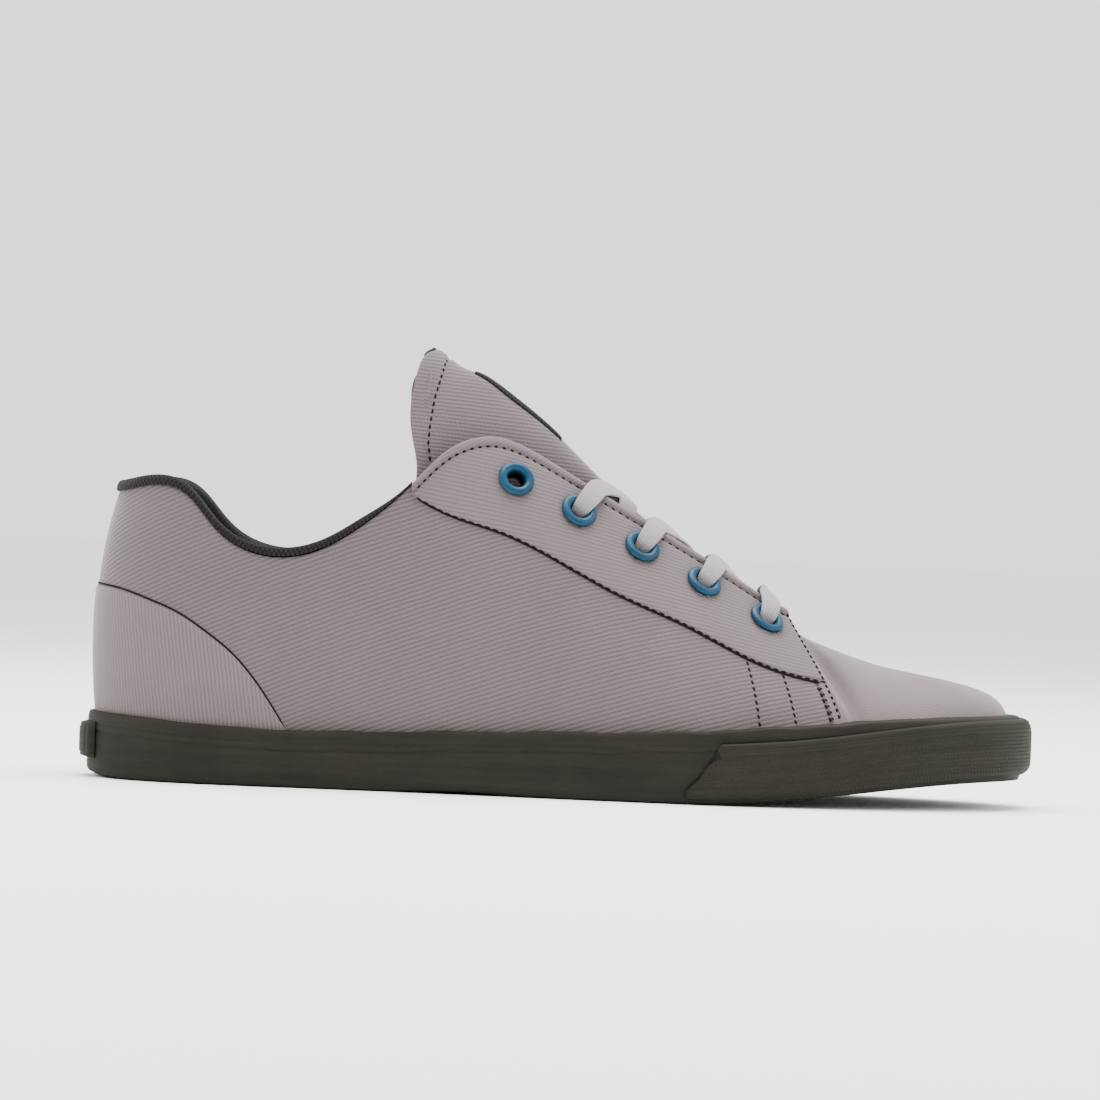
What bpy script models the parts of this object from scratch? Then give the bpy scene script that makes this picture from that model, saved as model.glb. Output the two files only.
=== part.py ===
"""A right low-top skateboarding shoe: twill upper, padded collar and tongue, vulcanised rubber sole.

Metres, +Z up, toe towards +X, the outer (lateral) side towards -Y. The origin is the centre of the
heel's flat spot on the floor. Lengths along the shoe are worked out from the back of the heel and
moved to that origin when a piece is placed. One function, skin, gives the last's surface: the upper,
its lining, eyestays, tongue, midsole, insole and the inside of the foxing are all cut from it.
"""

import math

import bmesh
import bpy
import numpy as np

# Main sizes of the shoe
SOLE_LENGTH = 0.2945
BALL_WIDTH = 0.1040
HEEL_REST = 0.0440
HEEL_HEIGHT = 0.0905
COLLAR_LOW = 0.0704
INSTEP_HEIGHT = 0.1095
VAMP_HEIGHT = 0.0545
TONGUE_HEIGHT = 0.1378

# Sole
OUTSOLE_THICKNESS = 0.0060
MIDSOLE_THICKNESS = 0.0050
TOE_SPRING = 0.0092
ARCH_RISE = 0.0008
HEEL_BEVEL = 0.0014
TREAD_DEPTH = 0.0016
TREAD_GROOVE = 0.0030
FOXING_HEIGHT = 0.0190
FOXING_SIDE = 0.0018
FOXING_TOE = 0.0032
FOXING_EDGE = 0.0008
FOXING_GROOVE = 0.0004
FOXING_GROOVE_DOWN = 0.0060
FOXING_SHOULDER = 0.0029
BUMPER_THICKNESS = 0.0013
BUMPER_DROP = 0.0036
BADGE_WIDTH = 0.0300
BADGE_HEIGHT = 0.0120
BADGE_THICKNESS = 0.0021

# Upper, lining and insole
WALL = 0.0022
SEAM_STEP = 0.0007
UPPER_TUCK = 0.0018
OVERLAY = 0.0009
COLLAR_PADDING = 0.0060
COLLAR_DEPTH = 0.0320
COLLAR_ROLL = 0.0030
INSOLE_HEEL = 0.0075
INSOLE_TOE = 0.0040
TONGUE_THICKNESS = 0.0065
TONGUE_TUCK = 0.0040
LABEL_WIDTH = 0.0220
LABEL_THICKNESS = 0.0010

# Eyelets and lace
EYELETS_A_SIDE = 5
EYELET_RADIUS = 0.0055
EYELET_HOLE = 0.0028
EYELET_BARREL = 0.0034
EYELET_RISE = 0.0015
EYELET_INSET = 0.0142
EYELET_FIRST = 0.4540
EYELET_LAST = 0.7585
LACE_WIDTH = 0.0068
LACE_THICKNESS = 0.0012
CROSSING_AHEAD = 0.0015
LACE_ROOM = 0.0016

# Touching pieces keep this gap
GAP = 0.0003

LATERAL = -1
MEDIAL = 1


def table(names, *rows):
    """Rows of numbers as one array for each named column."""
    return dict(zip(names.split(), np.array(rows, float).T))


# Plan of the sole: shares of its length, and of the ball width out to each side
OUTLINE = table(
    "along lateral medial",
    (0.00, 0.000, 0.000),
    (0.04, -0.238, 0.238),
    (0.12, -0.350, 0.345),
    (0.22, -0.375, 0.360),
    (0.33, -0.395, 0.335),
    (0.45, -0.440, 0.335),
    (0.56, -0.485, 0.385),
    (0.68, -0.505, 0.475),
    (0.76, -0.482, 0.492),
    (0.84, -0.422, 0.466),
    (0.91, -0.325, 0.398),
    (0.96, -0.220, 0.302),
    (1.00, 0.045, 0.045),
)

# Top edge of the foxing, as a share of its height, along the sole
FOXING_TOP = table(
    "along height",
    (0.00, 1.09),
    (0.05, 1.05),
    (0.13, 0.97),
    (0.24, 0.93),
    (0.42, 1.03),
    (0.58, 1.12),
    (0.75, 1.30),
    (0.88, 1.47),
    (1.00, 1.54),
)

# Each row is one column of the upper, from its foot on the sole to its top edge.
# foot and along are shares of the sole length, lateral and medial of the ball width. slope is the
# surface's fall at the top edge and lean its outward tilt at the foot, in degrees. low and high are
# the pull of those two directions, as shares of the straight distance from foot to top.
COLUMNS = table(
    "foot along lateral medial height slope low high lean",
    (0.000, 0.0255, 0.000, 0.000, 0.995 * HEEL_HEIGHT, 72, 0.34, 0.33, 9),
    (0.030, 0.0440, 0.165, 0.165, 1.003 * HEEL_HEIGHT, 74, 0.34, 0.33, 9),
    (0.080, 0.0830, 0.258, 0.255, 1.010 * HEEL_HEIGHT, 80, 0.34, 0.33, 8),
    (0.120, 0.1130, 0.292, 0.288, 0.950 * HEEL_HEIGHT, 84, 0.34, 0.33, 8),
    (0.155, 0.1440, 0.315, 0.310, 1.080 * COLLAR_LOW, 87, 0.34, 0.33, 7),
    (0.200, 0.1960, 0.332, 0.325, 1.000 * COLLAR_LOW, 88, 0.34, 0.33, 7),
    (0.250, 0.2510, 0.328, 0.320, 1.050 * COLLAR_LOW, 86, 0.34, 0.33, 7),
    (0.300, 0.3000, 0.306, 0.298, 0.765 * INSTEP_HEIGHT, 82, 0.34, 0.33, 7),
    (0.335, 0.3290, 0.284, 0.276, 0.836 * INSTEP_HEIGHT, 77, 0.34, 0.33, 7),
    (0.370, 0.3610, 0.256, 0.250, 0.927 * INSTEP_HEIGHT, 69, 0.34, 0.33, 7),
    (0.400, 0.3870, 0.232, 0.227, 0.980 * INSTEP_HEIGHT, 62, 0.34, 0.33, 7),
    (0.425, 0.4130, 0.208, 0.204, 0.999 * INSTEP_HEIGHT, 57, 0.34, 0.33, 7),
    (0.455, 0.4400, 0.186, 0.183, 0.987 * INSTEP_HEIGHT, 52, 0.34, 0.33, 7),
    (0.500, 0.4770, 0.164, 0.162, 0.938 * INSTEP_HEIGHT, 47, 0.34, 0.33, 7),
    (0.570, 0.5380, 0.144, 0.142, 0.843 * INSTEP_HEIGHT, 42, 0.34, 0.33, 7),
    (0.650, 0.6045, 0.127, 0.126, 0.740 * INSTEP_HEIGHT, 38, 0.34, 0.34, 7),
    (0.730, 0.6725, 0.110, 0.110, 0.633 * INSTEP_HEIGHT, 36, 0.34, 0.36, 7),
    (0.785, 0.7180, 0.096, 0.096, 0.560 * INSTEP_HEIGHT, 35, 0.33, 0.38, 7),
    (0.805, 0.7350, 0.082, 0.082, 0.537 * INSTEP_HEIGHT, 33, 0.33, 0.40, 7),
    (0.816, 0.7440, 0.050, 0.050, 1.045 * VAMP_HEIGHT, 20, 0.33, 0.42, 7),
    (0.828, 0.7490, 0.000, 0.000, 1.000 * VAMP_HEIGHT, 0, 0.33, 0.44, 7),
    (0.860, 0.7740, 0.000, 0.000, 0.921 * VAMP_HEIGHT, 0, 0.34, 0.46, 6),
    (0.900, 0.8030, 0.000, 0.000, 0.866 * VAMP_HEIGHT, 0, 0.36, 0.49, 5),
    (0.940, 0.8335, 0.000, 0.000, 0.815 * VAMP_HEIGHT, 0, 0.44, 0.56, 4),
    (0.970, 0.8590, 0.000, 0.000, 0.787 * VAMP_HEIGHT, 0, 0.48, 0.61, 3),
    (1.000, 0.8895, 0.000, 0.000, 0.758 * VAMP_HEIGHT, 0, 0.51, 0.67, 3),
)

# Where the bumper starts at its lower and upper edge, as shares of the sole length
BUMPER_START = (0.633, 0.668)

# Feet of the columns where one form ends and the next begins
COLLAR_FRONT = 0.345
QUARTER_EDGE = 0.805
THROAT_END = 0.828

# How much of a turn, or of a column's height, a seam's step takes
SEAM_RUN = 0.006
SEAM_ROWS = 4

EYELET_SIDES = 10
TONGUE_ROWS = 15
TONGUE_POINTS = 9

# Seam of the heel counter: share of the sole length, and of the heel height
COUNTER_SEAM = table(
    "foot height",
    (0.000, 0.665),
    (0.035, 0.650),
    (0.070, 0.615),
    (0.105, 0.572),
    (0.137, 0.511),
    (0.165, 0.438),
    (0.185, 0.355),
    (0.200, 0.280),
    (0.215, 0.200),
)

# Lower seam of the eyestays: foot of the column, and height as a share of the instep height
EYESTAY_SEAM = table(
    "foot height",
    (0.345, 0.832),
    (0.385, 0.782),
    (0.440, 0.731),
    (0.500, 0.662),
    (0.570, 0.571),
    (0.650, 0.488),
    (0.730, 0.390),
    (0.805, 0.343),
)

# The tongue in the throat: foot of the upper's column beside it, its centre line as shares of the
# sole length and the instep height, and its thickness share
TONGUE_LACED = table(
    "foot along height thickness",
    (0.795, 0.7180, 0.542, 0.45),
    (0.740, 0.6880, 0.594, 0.60),
    (0.660, 0.6200, 0.724, 0.80),
    (0.580, 0.5550, 0.852, 0.95),
    (0.500, 0.4900, 1.012, 1.00),
)

# The free end of the tongue above the eyestays: centre, shoulder and edge of each row
TONGUE_FREE = table(
    "centre_along centre_height side_along side_out side_height edge_along edge_out edge_height thickness",
    (0.4400, 0.886, 0.3950, 0.175, 0.760, 0.3600, 0.215, 0.640, 1.00),
    (0.4080, 0.933, 0.3700, 0.180, 0.830, 0.3400, 0.215, 0.710, 1.00),
    (0.3830, 0.956, 0.3530, 0.175, 0.900, 0.3330, 0.205, 0.800, 0.95),
    (0.3660, 0.982, 0.3480, 0.150, 0.960, 0.3340, 0.185, 0.885, 0.80),
    (0.3580, 1.000, 0.3480, 0.105, 0.990, 0.3400, 0.140, 0.945, 0.50),
)

# Upper and lower end of the tongue's label, as shares of the sole length
LABEL_ENDS = (0.398, 0.492)

# Where the flex grooves cross the outsole, as shares of its length; heel and ball keep flat pads
TREAD_SHARES = (0.05, 0.27, 0.31, 0.35, 0.47, 0.51, 0.55, 0.69, 0.73, 0.77, 0.81, 0.85, 0.89, 0.93)


def spline(stations, values, wanted):
    """A natural cubic spline through a table's column."""
    count = len(stations)
    step = np.diff(stations)
    rise = np.diff(values) / step
    matrix = np.eye(count)
    right = np.zeros(count)
    for row in range(1, count - 1):
        matrix[row, row - 1 : row + 2] = step[row - 1], 2 * (step[row - 1] + step[row]), step[row]
        right[row] = 6 * (rise[row] - rise[row - 1])
    bend = np.linalg.solve(matrix, right)
    cell = np.clip(np.searchsorted(stations, wanted) - 1, 0, count - 2)
    ahead = (wanted - stations[cell]) / step[cell]
    behind = 1 - ahead
    curve = (ahead**3 - ahead) * bend[cell + 1] + (behind**3 - behind) * bend[cell]
    return behind * values[cell] + ahead * values[cell + 1] + curve * step[cell] ** 2 / 6


def smoothstep(low, high, value):
    share = np.clip((value - low) / (high - low), 0, 1)
    return share * share * (3 - 2 * share)


def turn_of(foot):
    """A share of the length as a turn from heel to toe, 0 to 1, that is even round both ends."""
    return np.arccos(1 - 2 * np.clip(foot, 0, 1)) / math.pi


def foot_of(turn):
    return (1 - np.cos(math.pi * turn)) / 2


def rise(along):
    """Height of the sole's underside: bevelled heel, flat, arch, flat ball, toe spring."""
    share = along / SOLE_LENGTH
    bevel = HEEL_BEVEL * np.clip((0.06 - share) / 0.06, 0, 1) ** 2
    arch = ARCH_RISE * np.sin(math.pi * np.clip((share - 0.30) / 0.20, 0, 1)) ** 2
    spring = TOE_SPRING * np.sin(math.pi / 2 * np.clip((share - 0.64) / 0.36, 0, 1)) ** 1.7
    return bevel + arch + spring


def outline(turn, side, inset=0.0):
    """Points of the sole's plan, moved inwards by inset: along and across, and the outward direction."""
    turns = turn_of(OUTLINE["along"])
    across = OUTLINE["lateral" if side < 0 else "medial"] * BALL_WIDTH
    small = 1e-4

    def place(where):
        return np.stack([SOLE_LENGTH * foot_of(where), spline(turns, across, where)], -1)

    tangent = place(turn + small) - place(turn - small)
    tangent /= np.linalg.norm(tangent, axis=-1, keepdims=True)
    outward = np.stack([-tangent[..., 1], tangent[..., 0]], -1) * side
    return place(turn) - outward * np.asarray(inset)[..., None], outward


def foxing_thickness(turn):
    return FOXING_SIDE + (FOXING_TOE - FOXING_SIDE) * smoothstep(0.62, 0.95, foot_of(turn))


def column(turn, side):
    """The four handles of each column of the last: foot, low, high and top."""
    turns = turn_of(COLUMNS["foot"])

    def read(name):
        return spline(turns, COLUMNS[name], turn)

    on_ridge = turn >= turn_of(THROAT_END) - 1e-9
    out = np.where(on_ridge, 0, read("lateral" if side < 0 else "medial") * BALL_WIDTH)
    slope = np.radians(np.where(on_ridge, 0, read("slope")))
    lean = np.radians(read("lean"))
    tuck = UPPER_TUCK * (1 - 0.7 * smoothstep(0.70, 0.95, foot_of(turn)))
    inset = foxing_thickness(turn) + GAP + SEAM_STEP + tuck
    plan, outward = outline(turn, side, inset)
    foot = np.stack([plan[..., 0], plan[..., 1], rise(plan[..., 0]) + OUTSOLE_THICKNESS + GAP], -1)
    top = np.stack([read("along") * SOLE_LENGTH, side * out, read("height")], -1)
    # The ridge falls along the shoe, and a column leaves it in that plane so both sides join smoothly
    small = 1e-4
    ahead = spline(turns, COLUMNS["height"], turn + small) - spline(turns, COLUMNS["height"], turn - small)
    length = spline(turns, COLUMNS["along"], turn + small) - spline(turns, COLUMNS["along"], turn - small)
    fan = smoothstep(0.33, 0.45, foot_of(turn))
    fall = -ahead / (length * SOLE_LENGTH) * fan
    spread = foot[..., :2] - top[..., :2]
    spread /= np.linalg.norm(spread, axis=-1, keepdims=True)
    away = fan[..., None] * spread + (1 - fan[..., None]) * outward
    away /= np.linalg.norm(away, axis=-1, keepdims=True)
    down = -np.sin(slope) - fall * away[..., 0] * np.cos(slope)
    leaving = np.stack([away[..., 0] * np.cos(slope), away[..., 1] * np.cos(slope), down], -1)
    leaving /= np.linalg.norm(leaving, axis=-1, keepdims=True)
    rising = np.stack([outward[..., 0] * np.sin(lean), outward[..., 1] * np.sin(lean), np.cos(lean)], -1)
    reach = np.linalg.norm(top - foot, axis=-1)
    low = foot + rising * (read("low") * reach)[..., None]
    high = top + leaving * (read("high") * reach)[..., None]
    return foot, low, high, top


def curve_points(turn, up, side):
    foot, low, high, top = column(turn, side)
    up = np.asarray(up)[..., None]
    down = 1 - up
    return down**3 * foot + 3 * down**2 * up * low + 3 * down * up**2 * high + up**3 * top


def skin(turn, up, side, offset=0.0):
    """Points of the last's surface, moved out by offset. up runs 0 to 1 from the sole to the top edge."""
    turn, up, offset = np.broadcast_arrays(turn, up, offset)
    turn = turn.astype(float)
    up = up.astype(float)
    near = np.clip(turn, 0.002, 0.990)
    below = np.clip(up, 0.001, 0.985)
    small = 1e-3
    across = curve_points(near + small, below, side) - curve_points(near - small, below, side)
    upward = curve_points(near, below + small, side) - curve_points(near, below - small, side)
    outward = np.cross(upward, across) * side
    outward /= np.linalg.norm(outward, axis=-1, keepdims=True)
    return curve_points(turn, up, side) + outward * offset[..., None]


def up_at(turn, height, side):
    """How far up each column lies a given height."""
    rows = np.linspace(0, 1, 121)
    turn, height = np.broadcast_arrays(np.asarray(turn, float), np.asarray(height, float))
    heights = curve_points(turn.reshape(-1, 1), rows, side)[..., 2]
    found = [np.interp(h, line, rows) for h, line in zip(height.reshape(-1), heights)]
    return np.array(found).reshape(turn.shape)


def up_below_edge(turn, distance, side):
    """How far up each column lies a distance below its top edge, measured over the surface."""
    rows = np.linspace(0, 1, 121)
    turn, distance = np.broadcast_arrays(np.asarray(turn, float), np.asarray(distance, float))
    lines = curve_points(turn.reshape(-1, 1), rows, side)
    steps = np.linalg.norm(np.diff(lines, axis=1), axis=-1)
    left = np.concatenate([np.cumsum(steps[:, ::-1], 1)[:, ::-1], np.zeros((len(steps), 1))], 1)
    found = [np.interp(d, line[::-1], rows[::-1]) for d, line in zip(distance.reshape(-1), left)]
    return np.array(found).reshape(turn.shape)


def turns(first_foot, last_foot, count):
    return np.linspace(turn_of(first_foot), turn_of(last_foot), count)


def material(name, colour, roughness):
    made = bpy.data.materials.new(name)
    made.use_nodes = True
    shader = made.node_tree.nodes["Principled BSDF"]
    shader.inputs["Base Color"].default_value = (*colour, 1)
    shader.inputs["Roughness"].default_value = roughness
    return made


def make(name, points, faces, finish):
    """One named object from points in sole coordinates, closed and with its faces outwards."""
    placed = np.asarray(points, float) - (HEEL_REST, 0, 0)
    mesh = bpy.data.meshes.new(name)
    mesh.from_pydata(placed.tolist(), [], [list(map(int, face)) for face in faces])
    work = bmesh.new()
    work.from_mesh(mesh)
    bmesh.ops.remove_doubles(work, verts=work.verts, dist=1e-6)
    bmesh.ops.dissolve_degenerate(work, edges=work.edges, dist=1e-6)
    bmesh.ops.recalc_face_normals(work, faces=work.faces)
    if work.calc_volume(signed=True) < 0:
        bmesh.ops.reverse_faces(work, faces=work.faces)
    work.to_mesh(mesh)
    work.free()
    mesh.shade_smooth()
    mesh.set_sharp_from_angle(angle=math.radians(40))
    mesh.materials.append(finish)
    made = bpy.data.objects.new(name, mesh)
    bpy.context.scene.collection.objects.link(made)
    return made


def loft(name, sections, finish, closed=False):
    """A solid through closed sections of equally many points: a ring, or a bar with its ends capped."""
    sections = np.asarray(sections, float)
    count, around = sections.shape[:2]
    ids = np.arange(count * around).reshape(count, around)
    here = ids if closed else ids[:-1]
    ahead = np.roll(ids, -1, 0) if closed else ids[1:]
    quads = np.stack([here, np.roll(here, -1, 1), np.roll(ahead, -1, 1), ahead], -1).reshape(-1, 4)
    faces = [list(quad) for quad in quads]
    if not closed:
        faces += [list(ids[0]), list(ids[-1][::-1])]
    return make(name, sections.reshape(-1, 3), faces, finish)


def both_sides(first, shape):
    """A closed ring of sections: along the lateral side, round the toe and back along the medial side."""
    lateral = [shape(turn, LATERAL) for turn in first]
    medial = [shape(turn, MEDIAL) for turn in first[1:-1][::-1]]
    return np.array(lateral + medial)


def round_heel(last, shape):
    """Sections from the lateral side, round the heel, to the medial side, for turns 0 to last."""
    lateral = [shape(turn, LATERAL) for turn in last[::-1]]
    medial = [shape(turn, MEDIAL) for turn in last[1:]]
    return np.array(lateral + medial)


def lifted(plan, height):
    return np.array([plan[0], plan[1], height])


def sole_layer(name, feet, edge, finish, ribs=None):
    """A layer of the sole, from strips across it. edge gives its plan and its two heights there."""
    sections = []
    for number, turn in enumerate(feet):
        lateral, medial = edge(turn, LATERAL), edge(turn, MEDIAL)
        if number in (0, len(feet) - 1):
            lateral = medial = [(a + b) / 2 for a, b in zip(lateral, medial)]
        cut = 0 if ribs is None else ribs[number]
        sections.append(
            [
                lifted(lateral[0], lateral[2] + cut),
                lifted(medial[0], medial[2] + cut),
                lifted(medial[1], medial[3]),
                lifted(lateral[1], lateral[3]),
            ]
        )
    return loft(name, sections, finish)


def foxing_top(along):
    return FOXING_HEIGHT * spline(FOXING_TOP["along"], FOXING_TOP["height"], along / SOLE_LENGTH)


def upper_step(turn):
    """How far the upper's own surface stands off the last low down: counter, quarter, vamp."""
    counter = 1 - smoothstep(0.225, 0.25, foot_of(turn))
    vamp = smoothstep(QUARTER_EDGE + 0.02, QUARTER_EDGE + 0.05, foot_of(turn))
    return SEAM_STEP * (counter - vamp)


def make_outsole(rubber):
    half = TREAD_GROOVE / 2 / SOLE_LENGTH
    walls = ((-1.5 * half, 0), (-half, TREAD_DEPTH), (half, TREAD_DEPTH), (1.5 * half, 0))
    grooves = [(turn_of(share + edge), cut) for share in TREAD_SHARES for edge, cut in walls]
    clear = [all(abs(foot_of(t) - share) > 2 * half for share in TREAD_SHARES) for t in turns(0, 1, 31)]
    plain = [(turn, 0) for turn, free in zip(turns(0, 1, 31), clear) if free]
    strips = sorted(grooves + plain)

    def edge(turn, side):
        plan, _ = outline(turn, side, FOXING_SIDE + GAP)
        return plan, plan, rise(plan[0]), rise(plan[0]) + OUTSOLE_THICKNESS

    return sole_layer("outsole", [turn for turn, _ in strips], edge, rubber, [cut for _, cut in strips])


def inside_layer(name, thickness_below, thickness, finish):
    """A layer inside the upper's wall, lying a gap above what is below it."""

    def edge(turn, side):
        along = curve_points(turn, 0.0, side)[0]
        low = rise(along) + OUTSOLE_THICKNESS + GAP + thickness_below(along)
        high = low + thickness(along)
        inner = -(WALL + 3 * GAP)
        plans = [skin(turn, up_at(turn, height, side), side, inner)[:2] for height in (low, high)]
        return plans[0], plans[1], low, high

    return sole_layer(name, upper_columns(), edge, finish)


def insole_thickness(along):
    return INSOLE_HEEL + (INSOLE_TOE - INSOLE_HEEL) * smoothstep(0.35, 0.75, along / SOLE_LENGTH)


def make_midsole(foam):
    return inside_layer("midsole", lambda along: 0.0, lambda along: MIDSOLE_THICKNESS, foam)


def make_insole(fabric):
    return inside_layer("insole", lambda along: MIDSOLE_THICKNESS + GAP, insole_thickness, fabric)


def make_foxing(rubber):
    def section(turn, side):
        plan, outward = outline(turn, side)
        bottom = rise(plan[0]) + FOXING_EDGE
        ledge = rise(plan[0]) + OUTSOLE_THICKNESS + GAP
        top = foxing_top(plan[0])

        def outer(depth, height):
            return lifted(plan - outward * depth, height)

        def inner(height):
            return skin(turn, up_at(turn, height, side), side, upper_step(turn) + 1.5 * GAP)

        rim = inner(top)
        thick = float(np.dot(plan - rim[:2], outward))
        groove = top - FOXING_GROOVE_DOWN
        return [
            outer(FOXING_SIDE, bottom),
            outer(FOXING_SIDE, ledge),
            lifted(inner(ledge)[:2], ledge),
            lifted(inner((ledge + top) / 2)[:2], (ledge + top) / 2),
            lifted(rim[:2], top),
            outer(0.50 * thick, top),
            outer(0.0, top - FOXING_SHOULDER),
            outer(0.0, groove + FOXING_GROOVE),
            outer(FOXING_GROOVE, groove),
            outer(0.0, groove - FOXING_GROOVE),
            outer(0.0, bottom + 2 * FOXING_EDGE),
            outer(FOXING_EDGE, bottom),
        ]

    return loft("foxing", both_sides(upper_columns(), section), rubber, closed=True)


def make_toe_bumper(rubber):
    def section(pair, side):
        def point(depth, height_share, inside=0.0):
            plan, outward = outline(pair[0] + (pair[1] - pair[0]) * height_share, side)
            low = rise(plan[0]) + 2 * FOXING_EDGE
            high = foxing_top(plan[0]) - BUMPER_DROP
            height = low + (high - low) * height_share - math.copysign(inside, height_share - 0.5)
            return lifted(plan + outward * (GAP + depth), height)

        return [
            point(0.0, 0.0),
            point(0.0, 1.0),
            point(0.5 * BUMPER_THICKNESS, 1.0),
            point(BUMPER_THICKNESS, 1.0, BUMPER_THICKNESS),
            point(BUMPER_THICKNESS, 0.0, BUMPER_THICKNESS),
            point(0.5 * BUMPER_THICKNESS, 0.0),
        ]

    start = np.array([turn_of(foot) for foot in BUMPER_START])
    shared = [(turn, turn) for turn in upper_columns() if turn > start[1] + 0.004]
    pairs = [start] + shared
    lateral = [section(pair, LATERAL) for pair in pairs]
    medial = [section(pair, MEDIAL) for pair in pairs[:-1][::-1]]
    return loft("toe_bumper", lateral + medial, rubber)


def make_heel_badge(rubber):
    fine = turns(0, 0.1, 60)
    widths = np.abs([outline(turn, MEDIAL)[0][1] for turn in fine])
    last = float(np.interp(BADGE_WIDTH / 2, widths, fine))

    def section(turn, side):
        plan, outward = outline(turn, side)
        middle = foxing_top(0.0) * 0.56
        thick = BADGE_THICKNESS * (1 - 0.5 * (turn / last) ** 6)

        def point(depth, height_share):
            return lifted(plan + outward * (GAP + depth), middle + height_share * BADGE_HEIGHT)

        return [
            point(0.0, -0.5),
            point(0.0, 0.5),
            point(0.6 * thick, 0.5),
            point(thick, 0.4),
            point(thick, -0.4),
            point(0.6 * thick, -0.5),
        ]

    return loft("heel_badge", round_heel(np.linspace(0, last, 6), section), rubber)


def upper_columns():
    """Turns of the upper's columns on one side, with one just past the quarter's front edge."""
    parts = [
        turns(0, COLLAR_FRONT, 15)[:-1],
        turns(COLLAR_FRONT, QUARTER_EDGE, 11),
        [turn_of(QUARTER_EDGE) + SEAM_RUN],
        turns(THROAT_END, 1, 8),
    ]
    middle = (turn_of(QUARTER_EDGE) + SEAM_RUN + turn_of(THROAT_END)) / 2
    return np.sort(np.concatenate(parts + [[middle]]))


def upper_rows(turn, side):
    """Heights on one column: up to the counter's seam, past its edge, and on to the top."""
    foot = min(foot_of(turn), COUNTER_SEAM["foot"][-1])
    seam = up_at(turn, HEEL_HEIGHT * spline(COUNTER_SEAM["foot"], COUNTER_SEAM["height"], foot), side)
    seam = float(min(max(seam, 0.12), 0.8))
    return np.concatenate([np.linspace(0, seam, SEAM_ROWS), np.linspace(seam + SEAM_RUN, 1, 7)])


def make_upper(canvas):
    feet = upper_columns()
    sides = [(turn, LATERAL) for turn in feet] + [(turn, MEDIAL) for turn in feet[1:-1][::-1]]
    outside, inside = [], []
    for turn, side in sides:
        rows = upper_rows(turn, side)
        counter = foot_of(turn) < COUNTER_SEAM["foot"][-1]
        step = np.where((np.arange(len(rows)) < SEAM_ROWS) & counter, SEAM_STEP, 0.0)
        if turn > turn_of(QUARTER_EDGE) + 1e-9:
            step = np.full(len(rows), -SEAM_STEP)
        outside.append(skin(turn, rows, side, step))
        inside.append(skin(turn, rows, side, -WALL))
        outside[-1][0, 2] = inside[-1][0, 2] = curve_points(turn, 0.0, side)[2]
    outside, inside = np.array(outside), np.array(inside)
    count, rows = outside.shape[:2]
    ids = np.arange(2 * count * rows).reshape(2, count, rows)
    # Past the throat both sides share the points of the ridge
    ridge = [i for i, turn in enumerate(feet) if turn > turn_of(THROAT_END) - 1e-9 and i < len(feet) - 1]
    for i in ridge:
        outside[i, -1, 1] = inside[i, -1, 1] = 0
        ids[:, count - i, -1] = ids[:, i, -1]
    faces = []
    for layer in ids:
        ahead = np.roll(layer, -1, 0)
        quads = [layer[:, :-1], ahead[:, :-1], ahead[:, 1:], layer[:, 1:]]
        faces += list(np.stack(quads, -1).reshape(-1, 4))
    for i in range(count):
        j = (i + 1) % count
        faces.append([ids[0, i, 0], ids[1, i, 0], ids[1, j, 0], ids[0, j, 0]])
        if not (ridge[0] <= i < count - ridge[0]):
            faces.append([ids[0, i, -1], ids[0, j, -1], ids[1, j, -1], ids[1, i, -1]])
    points = np.concatenate([outside.reshape(-1, 3), inside.reshape(-1, 3)])
    return make("upper", points, faces, canvas)


def make_collar_lining(fabric):
    front = turn_of(COLLAR_FRONT)

    def section(turn, side):
        pad = COLLAR_PADDING * (1 - 0.8 * smoothstep(0.20, COLLAR_FRONT, foot_of(turn)))
        roll = COLLAR_ROLL * (1 - 0.7 * smoothstep(0.27, COLLAR_FRONT, foot_of(turn)))
        low, mid, edge = up_below_edge(turn, np.array([COLLAR_DEPTH, COLLAR_DEPTH / 2, 0.0]), side)
        inner = -(WALL + 2 * GAP)
        top = skin(turn, 1.0, side)
        upwards = top - skin(turn, 0.97, side)
        upwards /= np.linalg.norm(upwards)

        def over(offset, lift):
            return skin(turn, 1.0, side, offset) + upwards * lift

        return [
            skin(turn, low, side, inner),
            skin(turn, mid, side, inner),
            skin(turn, (mid + 1) / 2, side, inner),
            skin(turn, edge, side, inner),
            over(inner, 2 * GAP),
            over(0.0, 2 * GAP),
            over(0.0003, 0.5 * roll),
            over(-0.4 * WALL, 0.95 * roll),
            over(-1.2 * WALL, roll),
            over(-WALL - 0.75 * pad, 0.35 * roll),
            skin(turn, (mid + 1) / 2, side, -WALL - pad),
            skin(turn, mid, side, -WALL - 0.8 * pad),
            skin(turn, low, side, -WALL - GAP - 0.0010),
        ]

    feet = upper_columns()
    return loft("collar_lining", round_heel(feet[feet < front + 1e-9], section), fabric)


def make_eyestay(name, side, canvas):
    feet = upper_columns()
    feet = feet[(feet > turn_of(COLLAR_FRONT) - 1e-9) & (feet < turn_of(QUARTER_EDGE) + 1e-9)]
    sections = []
    for turn in feet:
        height = INSTEP_HEIGHT * spline(EYESTAY_SEAM["foot"], EYESTAY_SEAM["height"], foot_of(turn))
        low = min(float(up_at(turn, height, side)), 0.97)
        rows = np.linspace(low, 1, 5)
        outer = skin(turn, rows, side, 1.5 * GAP + OVERLAY)
        inner = skin(turn, rows, side, 1.5 * GAP)
        sections.append(np.concatenate([inner, outer[::-1]]))
    return loft(name, sections, canvas)


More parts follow.
